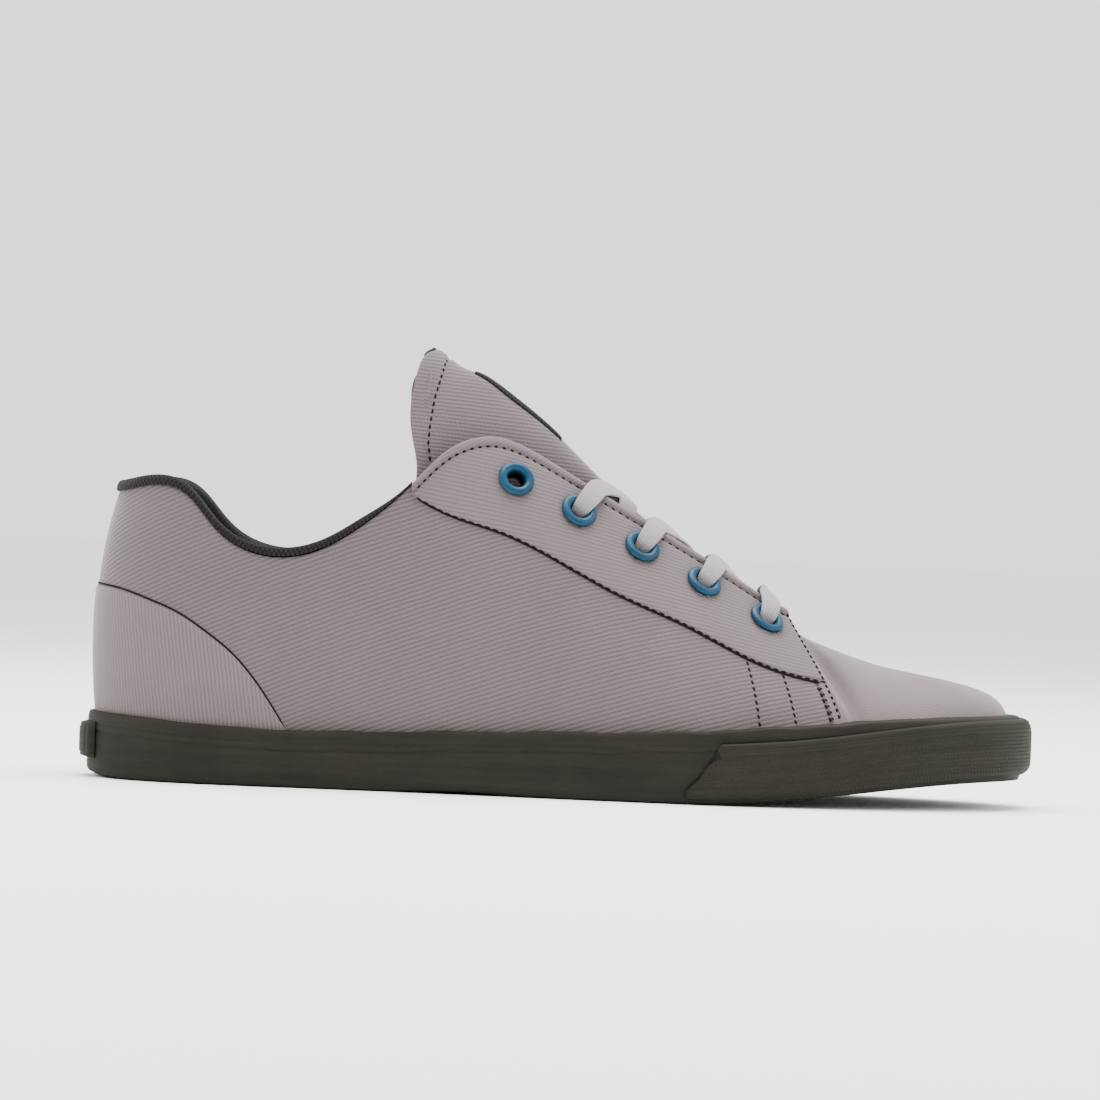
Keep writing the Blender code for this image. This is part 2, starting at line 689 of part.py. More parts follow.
def eyelet_frames(side):
    """Centre, outward direction and direction to the throat's edge at each eyelet, on the quarter."""
    frames = []
    for turn in turn_of(np.linspace(EYELET_FIRST, EYELET_LAST, EYELETS_A_SIDE)):
        up = float(up_below_edge(turn, EYELET_INSET, side))
        centre = skin(turn, up, side)
        outward = skin(turn, up, side, 0.001) - centre
        edgewards = skin(turn, up + 0.01, side) - centre
        frames.append((turn, centre, outward / np.linalg.norm(outward), edgewards / np.linalg.norm(edgewards)))
    return frames


def ring_round(centre, axis, profile, steps):
    """Points of a closed profile of radius and height turned round an axis."""
    across = np.cross(axis, [1.0, 0.0, 0.0])
    across /= np.linalg.norm(across)
    beside = np.cross(axis, across)
    angles = np.arange(steps) * 2 * math.pi / steps
    spokes = np.cos(angles)[:, None] * across + np.sin(angles)[:, None] * beside
    profile = np.asarray(profile)
    return centre + profile[None, :, :1] * spokes[:, None, :] + profile[None, :, 1:] * axis


def make_eyelet(name, centre, axis, metal):
    base = OVERLAY + 2.5 * GAP
    profile = [
        (EYELET_BARREL, -WALL),
        (EYELET_BARREL, base),
        (EYELET_RADIUS, base),
        (0.80 * EYELET_RADIUS, base + EYELET_RISE),
        (EYELET_HOLE, base + 0.6 * EYELET_RISE),
        (EYELET_HOLE, -WALL),
    ]
    return loft(name, ring_round(centre, axis, profile, EYELET_SIDES), metal, closed=True)


def punch_holes(target, frames, name):
    """Cut a hole for each eyelet's barrel through a piece."""
    points, faces = [], []
    for _, centre, axis, _ in frames:
        profile = [(EYELET_BARREL + GAP, -2 * WALL), (EYELET_BARREL + GAP, 3 * OVERLAY)]
        ends = ring_round(centre, axis, profile, EYELET_SIDES)
        low = list(range(len(points), len(points) + EYELET_SIDES))
        high = [i + EYELET_SIDES for i in low]
        points += list(ends[:, 0]) + list(ends[:, 1])
        faces += [low[::-1], high]
        faces += [list(quad) for quad in zip(low, low[1:] + low[:1], high[1:] + high[:1], high)]
    cutter = make(name, points, faces, target.data.materials[0])
    cutter.hide_render = True
    cutter.display_type = "WIRE"
    cut = target.modifiers.new("eyelet_holes", "BOOLEAN")
    cut.operation = "DIFFERENCE"
    cut.solver = "EXACT"
    cut.object = cutter


def tongue_grid():
    """Rows of points over the front of the tongue, from under the vamp up to its tip."""
    rows, thickness = [], []
    under = -(WALL + TONGUE_TUCK)
    laced = -(WALL + LACE_THICKNESS + LACE_ROOM)
    for foot, share in ((0.850, 0.25), (0.832, 0.30)):
        turn = turn_of(foot)
        edges = [[skin(turn, up, side, under) for up in (0.86, 0.94)] for side in (LATERAL, MEDIAL)]
        centre = skin(turn, 1.0, LATERAL, under) * (1, 0, 1)
        rows.append([*edges[0], centre, *edges[1][::-1]])
        thickness.append(share)
    for foot, along, height, share in np.transpose(list(TONGUE_LACED.values())):
        turn = turn_of(foot)
        low = 0.86 - 0.12 * smoothstep(0.80, 0.70, foot)
        edges = [[skin(turn, up, side, laced) for up in (low, 1.0)] for side in (LATERAL, MEDIAL)]
        centre = np.array([along * SOLE_LENGTH, 0, height * INSTEP_HEIGHT])
        rows.append([*edges[0], centre, *edges[1][::-1]])
        thickness.append(share)
    for row in np.transpose(list(TONGUE_FREE.values())):
        centre = np.array([row[0] * SOLE_LENGTH, 0, row[1] * TONGUE_HEIGHT])
        beside = np.array([row[2] * SOLE_LENGTH, row[3] * BALL_WIDTH, row[4] * TONGUE_HEIGHT])
        edge = np.array([row[5] * SOLE_LENGTH, row[6] * BALL_WIDTH, row[7] * TONGUE_HEIGHT])
        flip = (1, -1, 1)
        rows.append([edge * flip, beside * flip, centre, beside, edge])
        thickness.append(row[8])
    rows = np.array(rows)
    down = np.linspace(0, len(rows) - 1, TONGUE_ROWS)
    across = np.linspace(0, 4, TONGUE_POINTS)
    stations = np.arange(len(rows), dtype=float)
    tall = np.array([[spline(stations, rows[:, c, k], down) for k in range(3)] for c in range(5)])
    wide = np.array([[spline(np.arange(5.0), tall[:, k, r], across) for k in range(3)] for r in range(len(down))])
    return np.swapaxes(wide, 1, 2), np.interp(down, stations, thickness)


def normals_of(grid):
    along = np.gradient(grid, axis=0)
    across = np.gradient(grid, axis=1)
    normal = np.cross(across, along)
    return normal / np.linalg.norm(normal, axis=-1, keepdims=True)


def make_tongue(fabric):
    grid, thickness = tongue_grid()
    share = np.abs(np.linspace(-1, 1, TONGUE_POINTS))
    taper = 1 - 0.6 * share**3
    depth = TONGUE_THICKNESS * thickness[:, None] * taper
    below = grid - normals_of(grid) * depth[..., None]
    return loft("tongue", np.concatenate([grid, below[:, ::-1]], 1), fabric), grid


def over_tongue(grid, along, out):
    """The point of the tongue's front at a place in plan, and the direction it faces there."""

    def height(where, aside):
        spots = np.array([[np.interp(aside, row[:, 1], row[:, k]) for k in (0, 2)] for row in grid])
        spots = spots[np.argsort(spots[:, 0])]
        return float(np.interp(where, spots[:, 0], spots[:, 1]))

    near = 0.002
    ahead = (height(along + near, out) - height(along - near, out)) / (2 * near)
    aside = (height(along, out + near) - height(along, out - near)) / (2 * near)
    facing = np.array([-ahead, -aside, 1.0])
    return np.array([along, out, height(along, out)]), facing / np.linalg.norm(facing)


def make_tongue_label(grid, fabric):
    """A flat patch laid over the tongue's front."""
    rows = []
    for along in np.linspace(LABEL_ENDS[0], LABEL_ENDS[1], 5) * SOLE_LENGTH:
        spots = [over_tongue(grid, along, out) for out in np.linspace(-0.5, 0.5, 9) * LABEL_WIDTH]
        under = [point + facing * 2.5 * GAP for point, facing in spots]
        over = [point + facing * (2.5 * GAP + LABEL_THICKNESS) for point, facing in spots]
        rows.append(under + over[::-1])
    return loft("tongue_label", rows, fabric)


def strap(name, points, flats, widths, cloth):
    """A flat lace through points, each with the direction its face looks and its width."""
    steps = np.arange(len(points), dtype=float)
    fine = np.linspace(0, len(points) - 1, 2 * len(points) - 1)
    path = np.array([spline(steps, np.array(points)[:, k], fine) for k in range(3)]).T
    flat = np.array([np.interp(fine, steps, np.array(flats)[:, k]) for k in range(3)]).T
    width = np.interp(fine, steps, widths)
    tangent = np.gradient(path, axis=0)
    tangent /= np.linalg.norm(tangent, axis=1, keepdims=True)
    across = np.cross(tangent, flat)
    across /= np.linalg.norm(across, axis=1, keepdims=True)
    facing = np.cross(across, tangent)
    shape = ((-0.5, 0), (-0.36, 0.5), (0.36, 0.5), (0.5, 0), (0.36, -0.5), (-0.36, -0.5))
    sections = [path + across * (width * a)[:, None] + facing * LACE_THICKNESS * b for a, b in shape]
    return loft(name, np.stack(sections, 1), cloth)


def lace_start(frame, side):
    """A lace's way out of an eyelet: from inside its barrel, over its flange, to the throat's edge."""
    turn, centre, outward, edgewards = frame
    ring = OVERLAY + 2.5 * GAP + EYELET_RISE
    lay = LACE_THICKNESS / 2 + GAP
    points = [
        centre,
        centre + outward * (ring + 0.2 * LACE_THICKNESS),
        centre + outward * (ring + lay) + edgewards * 1.1 * EYELET_RADIUS,
    ]
    return points, [-edgewards, outward - 0.6 * edgewards, outward], [0.5, 0.62, 0.85]


def over_edge(turn, side, up, stand):
    """A point a little way off the eyestay near the throat's edge, and the direction it faces."""
    point = skin(turn, up, side)
    facing = (skin(turn, 0.98, side, 0.001) - skin(turn, 0.98, side)) * 1000
    return point + facing * stand, facing


def lace_route(frame, other, side, crossing, grid, above):
    """One strap: out of an eyelet, over the throat's edge, across the tongue and under the far eyestay."""
    points, flats, widths = lace_start(frame, side)
    lay = LACE_THICKNESS / 2 + GAP
    turn, far_turn = frame[0], other[0]
    edge = over_edge(turn + 0.22 * (far_turn - turn), side, 1.0, OVERLAY + 3 * GAP + 2.2 * lay)
    far_edge = over_edge(turn + 0.80 * (far_turn - turn), -side, 1.0, -(WALL + 0.5 * LACE_ROOM + 0.5 * LACE_THICKNESS))
    stand = lay + 0.8 * above * LACE_THICKNESS
    middle, facing = over_tongue(grid, crossing, 0.0)
    reach = abs(far_edge[0][1])
    beyond = crossing + 0.5 * (far_edge[0][0] - crossing)
    aside, aside_facing = over_tongue(grid, beyond, -side * 0.55 * reach)
    points += [edge[0], middle + facing * stand, aside + aside_facing * (lay + GAP), far_edge[0]]
    points.append(other[1] - other[2] * (WALL + lay + GAP))
    flats += [edge[1], facing, aside_facing, far_edge[1], other[2]]
    return points, flats, np.array(widths + [1.0, 1.0, 1.0, 1.0, 0.8]) * LACE_WIDTH


def make_laces(lateral, medial, grid, cloth):
    """The crossings between the eyelets, and the bar across the lowest pair."""
    for number in range(1, EYELETS_A_SIDE - 1):
        crossing = (lateral[number][1][0] + lateral[number + 1][1][0]) / 2 + CROSSING_AHEAD
        name = f"lace_crossing_{number}"
        route = lace_route(lateral[number], medial[number + 1], LATERAL, crossing, grid, 1)
        over = strap(name, *route, cloth)
        route = lace_route(medial[number], lateral[number + 1], MEDIAL, crossing, grid, 0)
        under = strap(name + "_under", *route, cloth)
        under.hide_render = True
        under.display_type = "WIRE"
        join = over.modifiers.new("join", "BOOLEAN")
        join.operation = "UNION"
        join.solver = "EXACT"
        join.object = under
    halves = []
    for side, frame in ((LATERAL, lateral[-1]), (MEDIAL, medial[-1])):
        points, flats, widths = lace_start(frame, side)
        edge, facing = over_edge(frame[0] + 0.004, side, 1.0, OVERLAY + 3 * GAP + LACE_THICKNESS)
        halves.append((points + [edge], flats + [facing], widths + [1.0]))
    ends = (halves[0][0][-1] + halves[1][0][-1]) / 2
    middle, facing = over_tongue(grid, ends[0], 0.0)
    middle = middle + facing * (LACE_THICKNESS / 2 + GAP)
    middle[2] = max(middle[2], ends[2])
    points = halves[0][0] + [middle] + halves[1][0][::-1]
    flats = halves[0][1] + [facing] + halves[1][1][::-1]
    widths = np.array(halves[0][2] + [1.0] + halves[1][2][::-1]) * LACE_WIDTH
    return strap("lace_bar", points, flats, widths, cloth)


def clear_scene():
    for old in list(bpy.data.objects):
        bpy.data.objects.remove(old, do_unlink=True)


def main():
    clear_scene()
    canvas = material("grey_twill", (0.31, 0.27, 0.28), 0.9)
    rubber = material("olive_rubber", (0.045, 0.040, 0.030), 0.55)
    lining = material("charcoal_lining", (0.032, 0.028, 0.028), 0.95)
    foam = material("midsole_foam", (0.35, 0.33, 0.30), 0.9)
    cloth = material("lace_cotton", (0.52, 0.49, 0.50), 0.85)
    metal = material("blue_enamel", (0.014, 0.19, 0.40), 0.25)
    make_outsole(rubber)
    make_midsole(foam)
    make_insole(lining)
    make_foxing(rubber)
    make_toe_bumper(rubber)
    make_heel_badge(rubber)
    upper = make_upper(canvas)
    make_collar_lining(lining)
    tongue, grid = make_tongue(canvas)
    make_tongue_label(grid, lining)
    for side, word in ((LATERAL, "lateral"), (MEDIAL, "medial")):
        frames = eyelet_frames(side)
        eyestay = make_eyestay("eyestay_" + word, side, canvas)
        punch_holes(upper, frames, "upper_holes_" + word)
        punch_holes(eyestay, frames, "eyestay_holes_" + word)
        for number, (_, centre, axis, _) in enumerate(frames, 1):
            make_eyelet(f"eyelet_{word}_{number}", centre, axis, metal)
    make_laces(eyelet_frames(LATERAL), eyelet_frames(MEDIAL), grid, cloth)


main()
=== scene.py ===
import math

import bpy
import numpy as np
from mathutils import Matrix, Vector


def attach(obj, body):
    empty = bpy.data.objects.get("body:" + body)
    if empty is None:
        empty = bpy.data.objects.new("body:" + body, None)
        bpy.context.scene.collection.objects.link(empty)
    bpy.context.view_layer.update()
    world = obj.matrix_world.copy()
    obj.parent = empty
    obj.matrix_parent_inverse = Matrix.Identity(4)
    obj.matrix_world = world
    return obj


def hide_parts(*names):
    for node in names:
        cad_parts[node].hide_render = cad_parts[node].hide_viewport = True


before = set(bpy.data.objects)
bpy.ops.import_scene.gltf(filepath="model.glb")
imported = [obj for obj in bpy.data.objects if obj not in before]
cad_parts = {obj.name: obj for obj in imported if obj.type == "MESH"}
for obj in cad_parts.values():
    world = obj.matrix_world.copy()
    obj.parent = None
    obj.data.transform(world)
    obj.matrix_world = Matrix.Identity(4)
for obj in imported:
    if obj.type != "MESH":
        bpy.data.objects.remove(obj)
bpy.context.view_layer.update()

# A right shoe, empty on its sole, toe along +X. Every shape below is a surface over two parameters: turn
# runs from heel (0) to toe (1) on each side, and up runs from the sole (0) to the top edge (1)
print("shoe: frame loaded")

# Sizes of the last and the sole, in metres, as the frame's solids have them
last = dict(
    soleLength=0.2945, ballWidth=0.1040, heelRest=0.0440, heelHeight=0.0905, collarLow=0.0704,
    instepHeight=0.1095, vampHeight=0.0545, tongueHeight=0.1378, outsole=0.0060, midsole=0.0050,
    toeSpring=0.0092, archRise=0.0008, heelBevel=0.0014, foxingHeight=0.0190, foxingSide=0.0018,
    foxingToe=0.0032, wall=0.0022, seamStep=0.0007, tuck=0.0018, gap=0.0003,
)
lateral, medial = -1, 1  # the two sides, as the sign of Y
collarFront, quarterEdge, throatEnd = 0.345, 0.805, 0.828  # places along the foot, heel 0, toe 1


# One array for each named column of a table
def table(names, *rows):
    return dict(zip(names.split(), np.array(rows, float).T))


# Plan of the sole: across for along, as shares of the ball's width and of the length
outlineTable = table(
    "along lateral medial",
    (0.00, 0.000, 0.000), (0.04, -0.238, 0.238), (0.12, -0.350, 0.345), (0.22, -0.375, 0.360),
    (0.33, -0.395, 0.335), (0.45, -0.440, 0.335), (0.56, -0.485, 0.385), (0.68, -0.505, 0.475),
    (0.76, -0.482, 0.492), (0.84, -0.422, 0.466), (0.91, -0.325, 0.398), (0.96, -0.220, 0.302),
    (1.00, 0.045, 0.045),
)
# Height of the foxing's top edge as a share of its height at the side
foxingTable = table(
    "along height",
    (0.00, 1.09), (0.05, 1.05), (0.13, 0.97), (0.24, 0.93), (0.42, 1.03), (0.58, 1.12), (0.75, 1.30),
    (0.88, 1.47), (1.00, 1.54),
)
heelH, lowH, instepH, vampH = last["heelHeight"], last["collarLow"], last["instepHeight"], last["vampHeight"]
# One row for each column of the last: where its foot and its top are, and how it leaves both
columnTable = table(
    "foot along lateral medial height slope low high lean",
    (0.000, 0.0255, 0.000, 0.000, 0.995 * heelH, 72, 0.34, 0.33, 9),
    (0.030, 0.0440, 0.165, 0.165, 1.003 * heelH, 74, 0.34, 0.33, 9),
    (0.080, 0.0830, 0.258, 0.255, 1.010 * heelH, 80, 0.34, 0.33, 8),
    (0.120, 0.1130, 0.292, 0.288, 0.950 * heelH, 84, 0.34, 0.33, 8),
    (0.155, 0.1440, 0.315, 0.310, 1.080 * lowH, 87, 0.34, 0.33, 7),
    (0.200, 0.1960, 0.332, 0.325, 1.000 * lowH, 88, 0.34, 0.33, 7),
    (0.250, 0.2510, 0.328, 0.320, 1.050 * lowH, 86, 0.34, 0.33, 7),
    (0.300, 0.3000, 0.306, 0.298, 0.765 * instepH, 82, 0.34, 0.33, 7),
    (0.335, 0.3290, 0.284, 0.276, 0.836 * instepH, 77, 0.34, 0.33, 7),
    (0.370, 0.3610, 0.256, 0.250, 0.927 * instepH, 69, 0.34, 0.33, 7),
    (0.400, 0.3870, 0.232, 0.227, 0.980 * instepH, 62, 0.34, 0.33, 7),
    (0.425, 0.4130, 0.208, 0.204, 0.999 * instepH, 57, 0.34, 0.33, 7),
    (0.455, 0.4400, 0.186, 0.183, 0.987 * instepH, 52, 0.34, 0.33, 7),
    (0.500, 0.4770, 0.164, 0.162, 0.938 * instepH, 47, 0.34, 0.33, 7),
    (0.570, 0.5380, 0.144, 0.142, 0.843 * instepH, 42, 0.34, 0.33, 7),
    (0.650, 0.6045, 0.127, 0.126, 0.740 * instepH, 38, 0.34, 0.34, 7),
    (0.730, 0.6725, 0.110, 0.110, 0.633 * instepH, 36, 0.34, 0.36, 7),
    (0.785, 0.7180, 0.096, 0.096, 0.560 * instepH, 35, 0.33, 0.38, 7),
    (0.805, 0.7350, 0.082, 0.082, 0.537 * instepH, 33, 0.33, 0.40, 7),
    (0.816, 0.7440, 0.050, 0.050, 1.045 * vampH, 20, 0.33, 0.42, 7),
    (0.828, 0.7490, 0.000, 0.000, 1.000 * vampH, 0, 0.33, 0.44, 7),
    (0.860, 0.7740, 0.000, 0.000, 0.921 * vampH, 0, 0.34, 0.46, 6),
    (0.900, 0.8030, 0.000, 0.000, 0.866 * vampH, 0, 0.36, 0.49, 5),
    (0.940, 0.8335, 0.000, 0.000, 0.815 * vampH, 0, 0.44, 0.56, 4),
    (0.970, 0.8590, 0.000, 0.000, 0.787 * vampH, 0, 0.48, 0.61, 3),
    (1.000, 0.8895, 0.000, 0.000, 0.758 * vampH, 0, 0.51, 0.67, 3),
)
# Heights of the counter's seam and the eyestay's lower edge, as shares of the heel's and the instep's
counterTable = table(
    "foot height",
    (0.000, 0.665), (0.035, 0.650), (0.070, 0.615), (0.105, 0.572), (0.137, 0.511), (0.165, 0.438),
    (0.185, 0.355), (0.200, 0.280), (0.215, 0.200),
)
eyestayTable = table(
    "foot height",
    (0.345, 0.832), (0.385, 0.782), (0.440, 0.731), (0.500, 0.662), (0.570, 0.571), (0.650, 0.488),
    (0.730, 0.390), (0.805, 0.343),
)
# The tongue's lines: laced, as foot, along, height and thickness; free, as the places of its middle, of
# a line beside it and of its edge, and the thickness
tongueLaced = (
    (0.795, 0.7180, 0.542, 0.45), (0.740, 0.6880, 0.594, 0.60), (0.660, 0.6200, 0.724, 0.80),
    (0.580, 0.5550, 0.852, 0.95), (0.500, 0.4900, 1.012, 1.00),
)
tongueFree = (
    (0.4400, 0.886, 0.3950, 0.175, 0.760, 0.3600, 0.215, 0.640, 1.00),
    (0.4080, 0.933, 0.3700, 0.180, 0.830, 0.3400, 0.215, 0.710, 1.00),
    (0.3830, 0.956, 0.3530, 0.175, 0.900, 0.3330, 0.205, 0.800, 0.95),
    (0.3660, 0.982, 0.3480, 0.150, 0.960, 0.3340, 0.185, 0.885, 0.80),
    (0.3580, 1.000, 0.3480, 0.105, 0.990, 0.3400, 0.140, 0.945, 0.50),
)


# Natural cubic spline through a table's column: its second derivatives come from one linear solve
def naturalSpline(stations, values, wanted):
    count = len(stations)
    step = np.diff(stations)
    slope = np.diff(values) / step
    matrix, right = np.eye(count), np.zeros(count)
    for row in range(1, count - 1):
        matrix[row, row - 1 : row + 2] = step[row - 1], 2 * (step[row - 1] + step[row]), step[row]
        right[row] = 6 * (slope[row] - slope[row - 1])
    bend = np.linalg.solve(matrix, right)
    cell = np.clip(np.searchsorted(stations, wanted) - 1, 0, count - 2)
    ahead = (wanted - stations[cell]) / step[cell]
    behind = 1 - ahead
    curve = (ahead**3 - ahead) * bend[cell + 1] + (behind**3 - behind) * bend[cell]
    return behind * values[cell] + ahead * values[cell + 1] + curve * step[cell] ** 2 / 6


# Nought below low, one above high, and three squares less two cubes of the share between them
def smoothstep(low, high, value):
    share = np.clip((value - low) / (high - low), 0, 1)
    return share * share * (3 - 2 * share)


# Rises as a quarter circle from an edge over the reach given
def roundedEdge(distance, reach):
    return np.sqrt(np.clip(1 - (1 - np.clip(distance / reach, 0, 1)) ** 2, 0, 1))


# A vector over its own length
def unit(vector):
    return vector / np.linalg.norm(vector, axis=-1, keepdims=True)


# Length from the start of a line, or along each line of a grid: the running sum of its steps
def runLength(points, axis=0):
    steps = np.linalg.norm(np.diff(points, axis=axis), axis=-1)
    return np.insert(np.cumsum(steps, axis), 0, 0, axis=axis)


# A share of the length as a turn from heel to toe: its cosine runs evenly round both ends
def turnOf(foot):
    return np.arccos(1 - 2 * np.clip(foot, 0, 1)) / math.pi


# The turn back as a share of the length
def footOf(turn):
    return (1 - np.cos(math.pi * np.asarray(turn))) / 2


# Height of the sole's underside: bevel squared at the heel, low arch, toe spring as a power of a sine
def rise(along):
    share = along / last["soleLength"]
    bevel = last["heelBevel"] * np.clip((0.06 - share) / 0.06, 0, 1) ** 2
    arch = last["archRise"] * np.sin(math.pi * np.clip((share - 0.30) / 0.20, 0, 1)) ** 2
    spring = last["toeSpring"] * np.sin(math.pi / 2 * np.clip((share - 0.64) / 0.36, 0, 1)) ** 1.7
    return bevel + arch + spring


# Plan of the sole: along is the cosine of the turn, across is the spline of the outline's table
def outline(turn, side, inset=0.0):
    stations = turnOf(outlineTable["along"])
    across = outlineTable["lateral" if side < 0 else "medial"] * last["ballWidth"]
    small = 1e-4

    def place(where):
        return np.stack([last["soleLength"] * footOf(where), naturalSpline(stations, across, where)], -1)

    tangent = unit(place(turn + small) - place(turn - small))
    outward = np.stack([-tangent[..., 1], tangent[..., 0]], -1) * side
    return place(turn) - outward * np.asarray(inset)[..., None], outward


# The rubber grows by a smoothstep from the side's thickness to the toe's
def foxingThickness(turn):
    share = smoothstep(0.62, 0.95, footOf(turn))
    return last["foxingSide"] + (last["foxingToe"] - last["foxingSide"]) * share


# Height of the foxing's top edge: the spline of its table
def foxingTop(along):
    share = along / last["soleLength"]
    return last["foxingHeight"] * naturalSpline(foxingTable["along"], foxingTable["height"], share)


# Height of the counter's seam: the spline of its table
def counterHeight(turn):
    return last["heelHeight"] * naturalSpline(counterTable["foot"], counterTable["height"], footOf(turn))


# Four handles of each column's curve. Foot and top are splines of the table; low lies above the foot
# on a line that leans outward, high below the top on one that falls by the slope. From the collar's
# front on, that line fans out from the throat and follows the throat's own fall
def lastColumn(turn, side):
    stations = turnOf(columnTable["foot"])

    def read(name):
        return naturalSpline(stations, columnTable[name], turn)

    onRidge = turn >= turnOf(throatEnd) - 1e-9
    out = np.where(onRidge, 0, read("lateral" if side < 0 else "medial") * last["ballWidth"])
    slope = np.radians(np.where(onRidge, 0, read("slope")))
    lean = np.radians(read("lean"))
    tuck = last["tuck"] * (1 - 0.7 * smoothstep(0.70, 0.95, footOf(turn)))
    plan, outward = outline(turn, side, foxingThickness(turn) + last["gap"] + last["seamStep"] + tuck)
    foot = np.stack([plan[..., 0], plan[..., 1], rise(plan[..., 0]) + last["outsole"] + last["gap"]], -1)
    top = np.stack([read("along") * last["soleLength"], side * out, read("height")], -1)
    small = 1e-4
    heights, alongs = columnTable["height"], columnTable["along"]
    ahead = naturalSpline(stations, heights, turn + small) - naturalSpline(stations, heights, turn - small)
    length = naturalSpline(stations, alongs, turn + small) - naturalSpline(stations, alongs, turn - small)
    fan = smoothstep(0.33, 0.45, footOf(turn))
    fall = -ahead / (length * last["soleLength"]) * fan
    spread = unit(foot[..., :2] - top[..., :2])
    away = unit(fan[..., None] * spread + (1 - fan[..., None]) * outward)
    down = -np.sin(slope) - fall * away[..., 0] * np.cos(slope)
    leaving = unit(np.stack([away[..., 0] * np.cos(slope), away[..., 1] * np.cos(slope), down], -1))
    rising = np.stack([outward[..., 0] * np.sin(lean), outward[..., 1] * np.sin(lean), np.cos(lean)], -1)
    reach = np.linalg.norm(top - foot, axis=-1)
    low = foot + rising * (read("low") * reach)[..., None]
    high = top + leaving * (read("high") * reach)[..., None]
    return foot, low, high, top


# Cubic Bezier up each column
def lastCurve(turn, up, side):
    foot, low, high, top = lastColumn(turn, side)
    up = np.asarray(up)[..., None]
    down = 1 - up
    return down**3 * foot + 3 * down**2 * up * low + 3 * down * up**2 * high + up**3 * top


# Soft creases, given in millimetres from the heel and the floor; depth below zero is a ridge
creases = (
    dict(start=(52, 66), end=(74, 34), width=7.0, depth=0.50),
    dict(start=(64, 67), end=(90, 38), width=6.0, depth=-0.35),
    dict(start=(24, 84), end=(31, 52), width=6.5, depth=0.35),
    dict(start=(40, 58), end=(58, 36), width=5.0, depth=-0.25),
    dict(start=(108, 72), end=(128, 34), width=9.0, depth=0.40),
    dict(start=(150, 60), end=(170, 28), width=8.0, depth=-0.30),
    dict(start=(184, 50), end=(194, 26), width=6.5, depth=0.40),
    dict(start=(206, 42), end=(210, 26), width=4.5, depth=-0.20),
    dict(start=(250, 42), end=(262, 32), width=9.0, depth=0.12),
)


# Sum of the creases: a bell of the distance from each line, times a sine's power along it
def creaseDepth(points):
    spots = points[..., (0, 2)] * 1000
    total = np.zeros(spots.shape[:-1])
    for crease in creases:
        start, end = (np.array(crease[key], float) for key in ("start", "end"))
        line = end - start
        share = ((spots - start) @ line) / (line @ line)
        across = spots - start - np.clip(share, 0, 1)[..., None] * line
        distance = np.linalg.norm(across, axis=-1)
        fade = np.sin(math.pi * np.clip(share * 0.9 + 0.05, 0, 1)) ** 0.8
        total += crease["depth"] / 1000 * np.exp(-((distance / crease["width"]) ** 2)) * fade
    return total


# The last's surface and the way it faces: the cross product of its two directions; offset moves along it
def skin(turn, up, side, offset=0.0, crease=True):
    turn, up, offset = (np.asarray(a, float) for a in np.broadcast_arrays(turn, up, offset))
    near = np.clip(turn, 0.002, 0.990)
    below = np.clip(up, 0.001, 0.985)
    small = 1e-3
    across = lastCurve(near + small, below, side) - lastCurve(near - small, below, side)
    upward = lastCurve(near, below + small, side) - lastCurve(near, below - small, side)
    facing = unit(np.cross(upward, across) * side)
    points = lastCurve(turn, up, side)
    if crease:
        offset = offset - creaseDepth(points)
    return points + facing * offset[..., None], facing


ladder = np.linspace(0, 1, 161)


# How far up each column lies a height above the floor, read off a ladder of 161 points
def upAt(turn, height, side):
    turn, height = np.broadcast_arrays(np.asarray(turn, float), np.asarray(height, float))
    lines = lastCurve(turn.reshape(-1, 1), ladder, side)[..., 2]
    ups = [np.interp(h, line, ladder) for h, line in zip(height.reshape(-1), lines)]
    return np.array(ups).reshape(turn.shape)


# How far up each column lies a distance below its top edge, measured over the surface
def upBelow(turn, distance, side):
    turn = np.asarray(turn, float)
    distance = np.asarray(distance, float) * np.ones((len(turn),) + np.shape(distance)[1:])
    left = belowEdge(lastCurve(turn[:, None], ladder, side))
    return np.array([np.interp(d, line[::-1], ladder[::-1]) for d, line in zip(distance, left)])


# The way a grid faces at each point: the cross product of its two directions
def normalsOf(grid):
    normal = np.cross(np.gradient(grid, axis=1), np.gradient(grid, axis=0))
    return normal / (np.linalg.norm(normal, axis=-1, keepdims=True) + 1e-12)


# Distance over the surface of each point of a grid from its column's top edge
def belowEdge(grid):
    return runLength(grid[:, ::-1], 1)[:, ::-1]


# The scene's origin lies this far ahead of the sole's rear
heelShift = np.array([last["heelRest"], 0, 0])


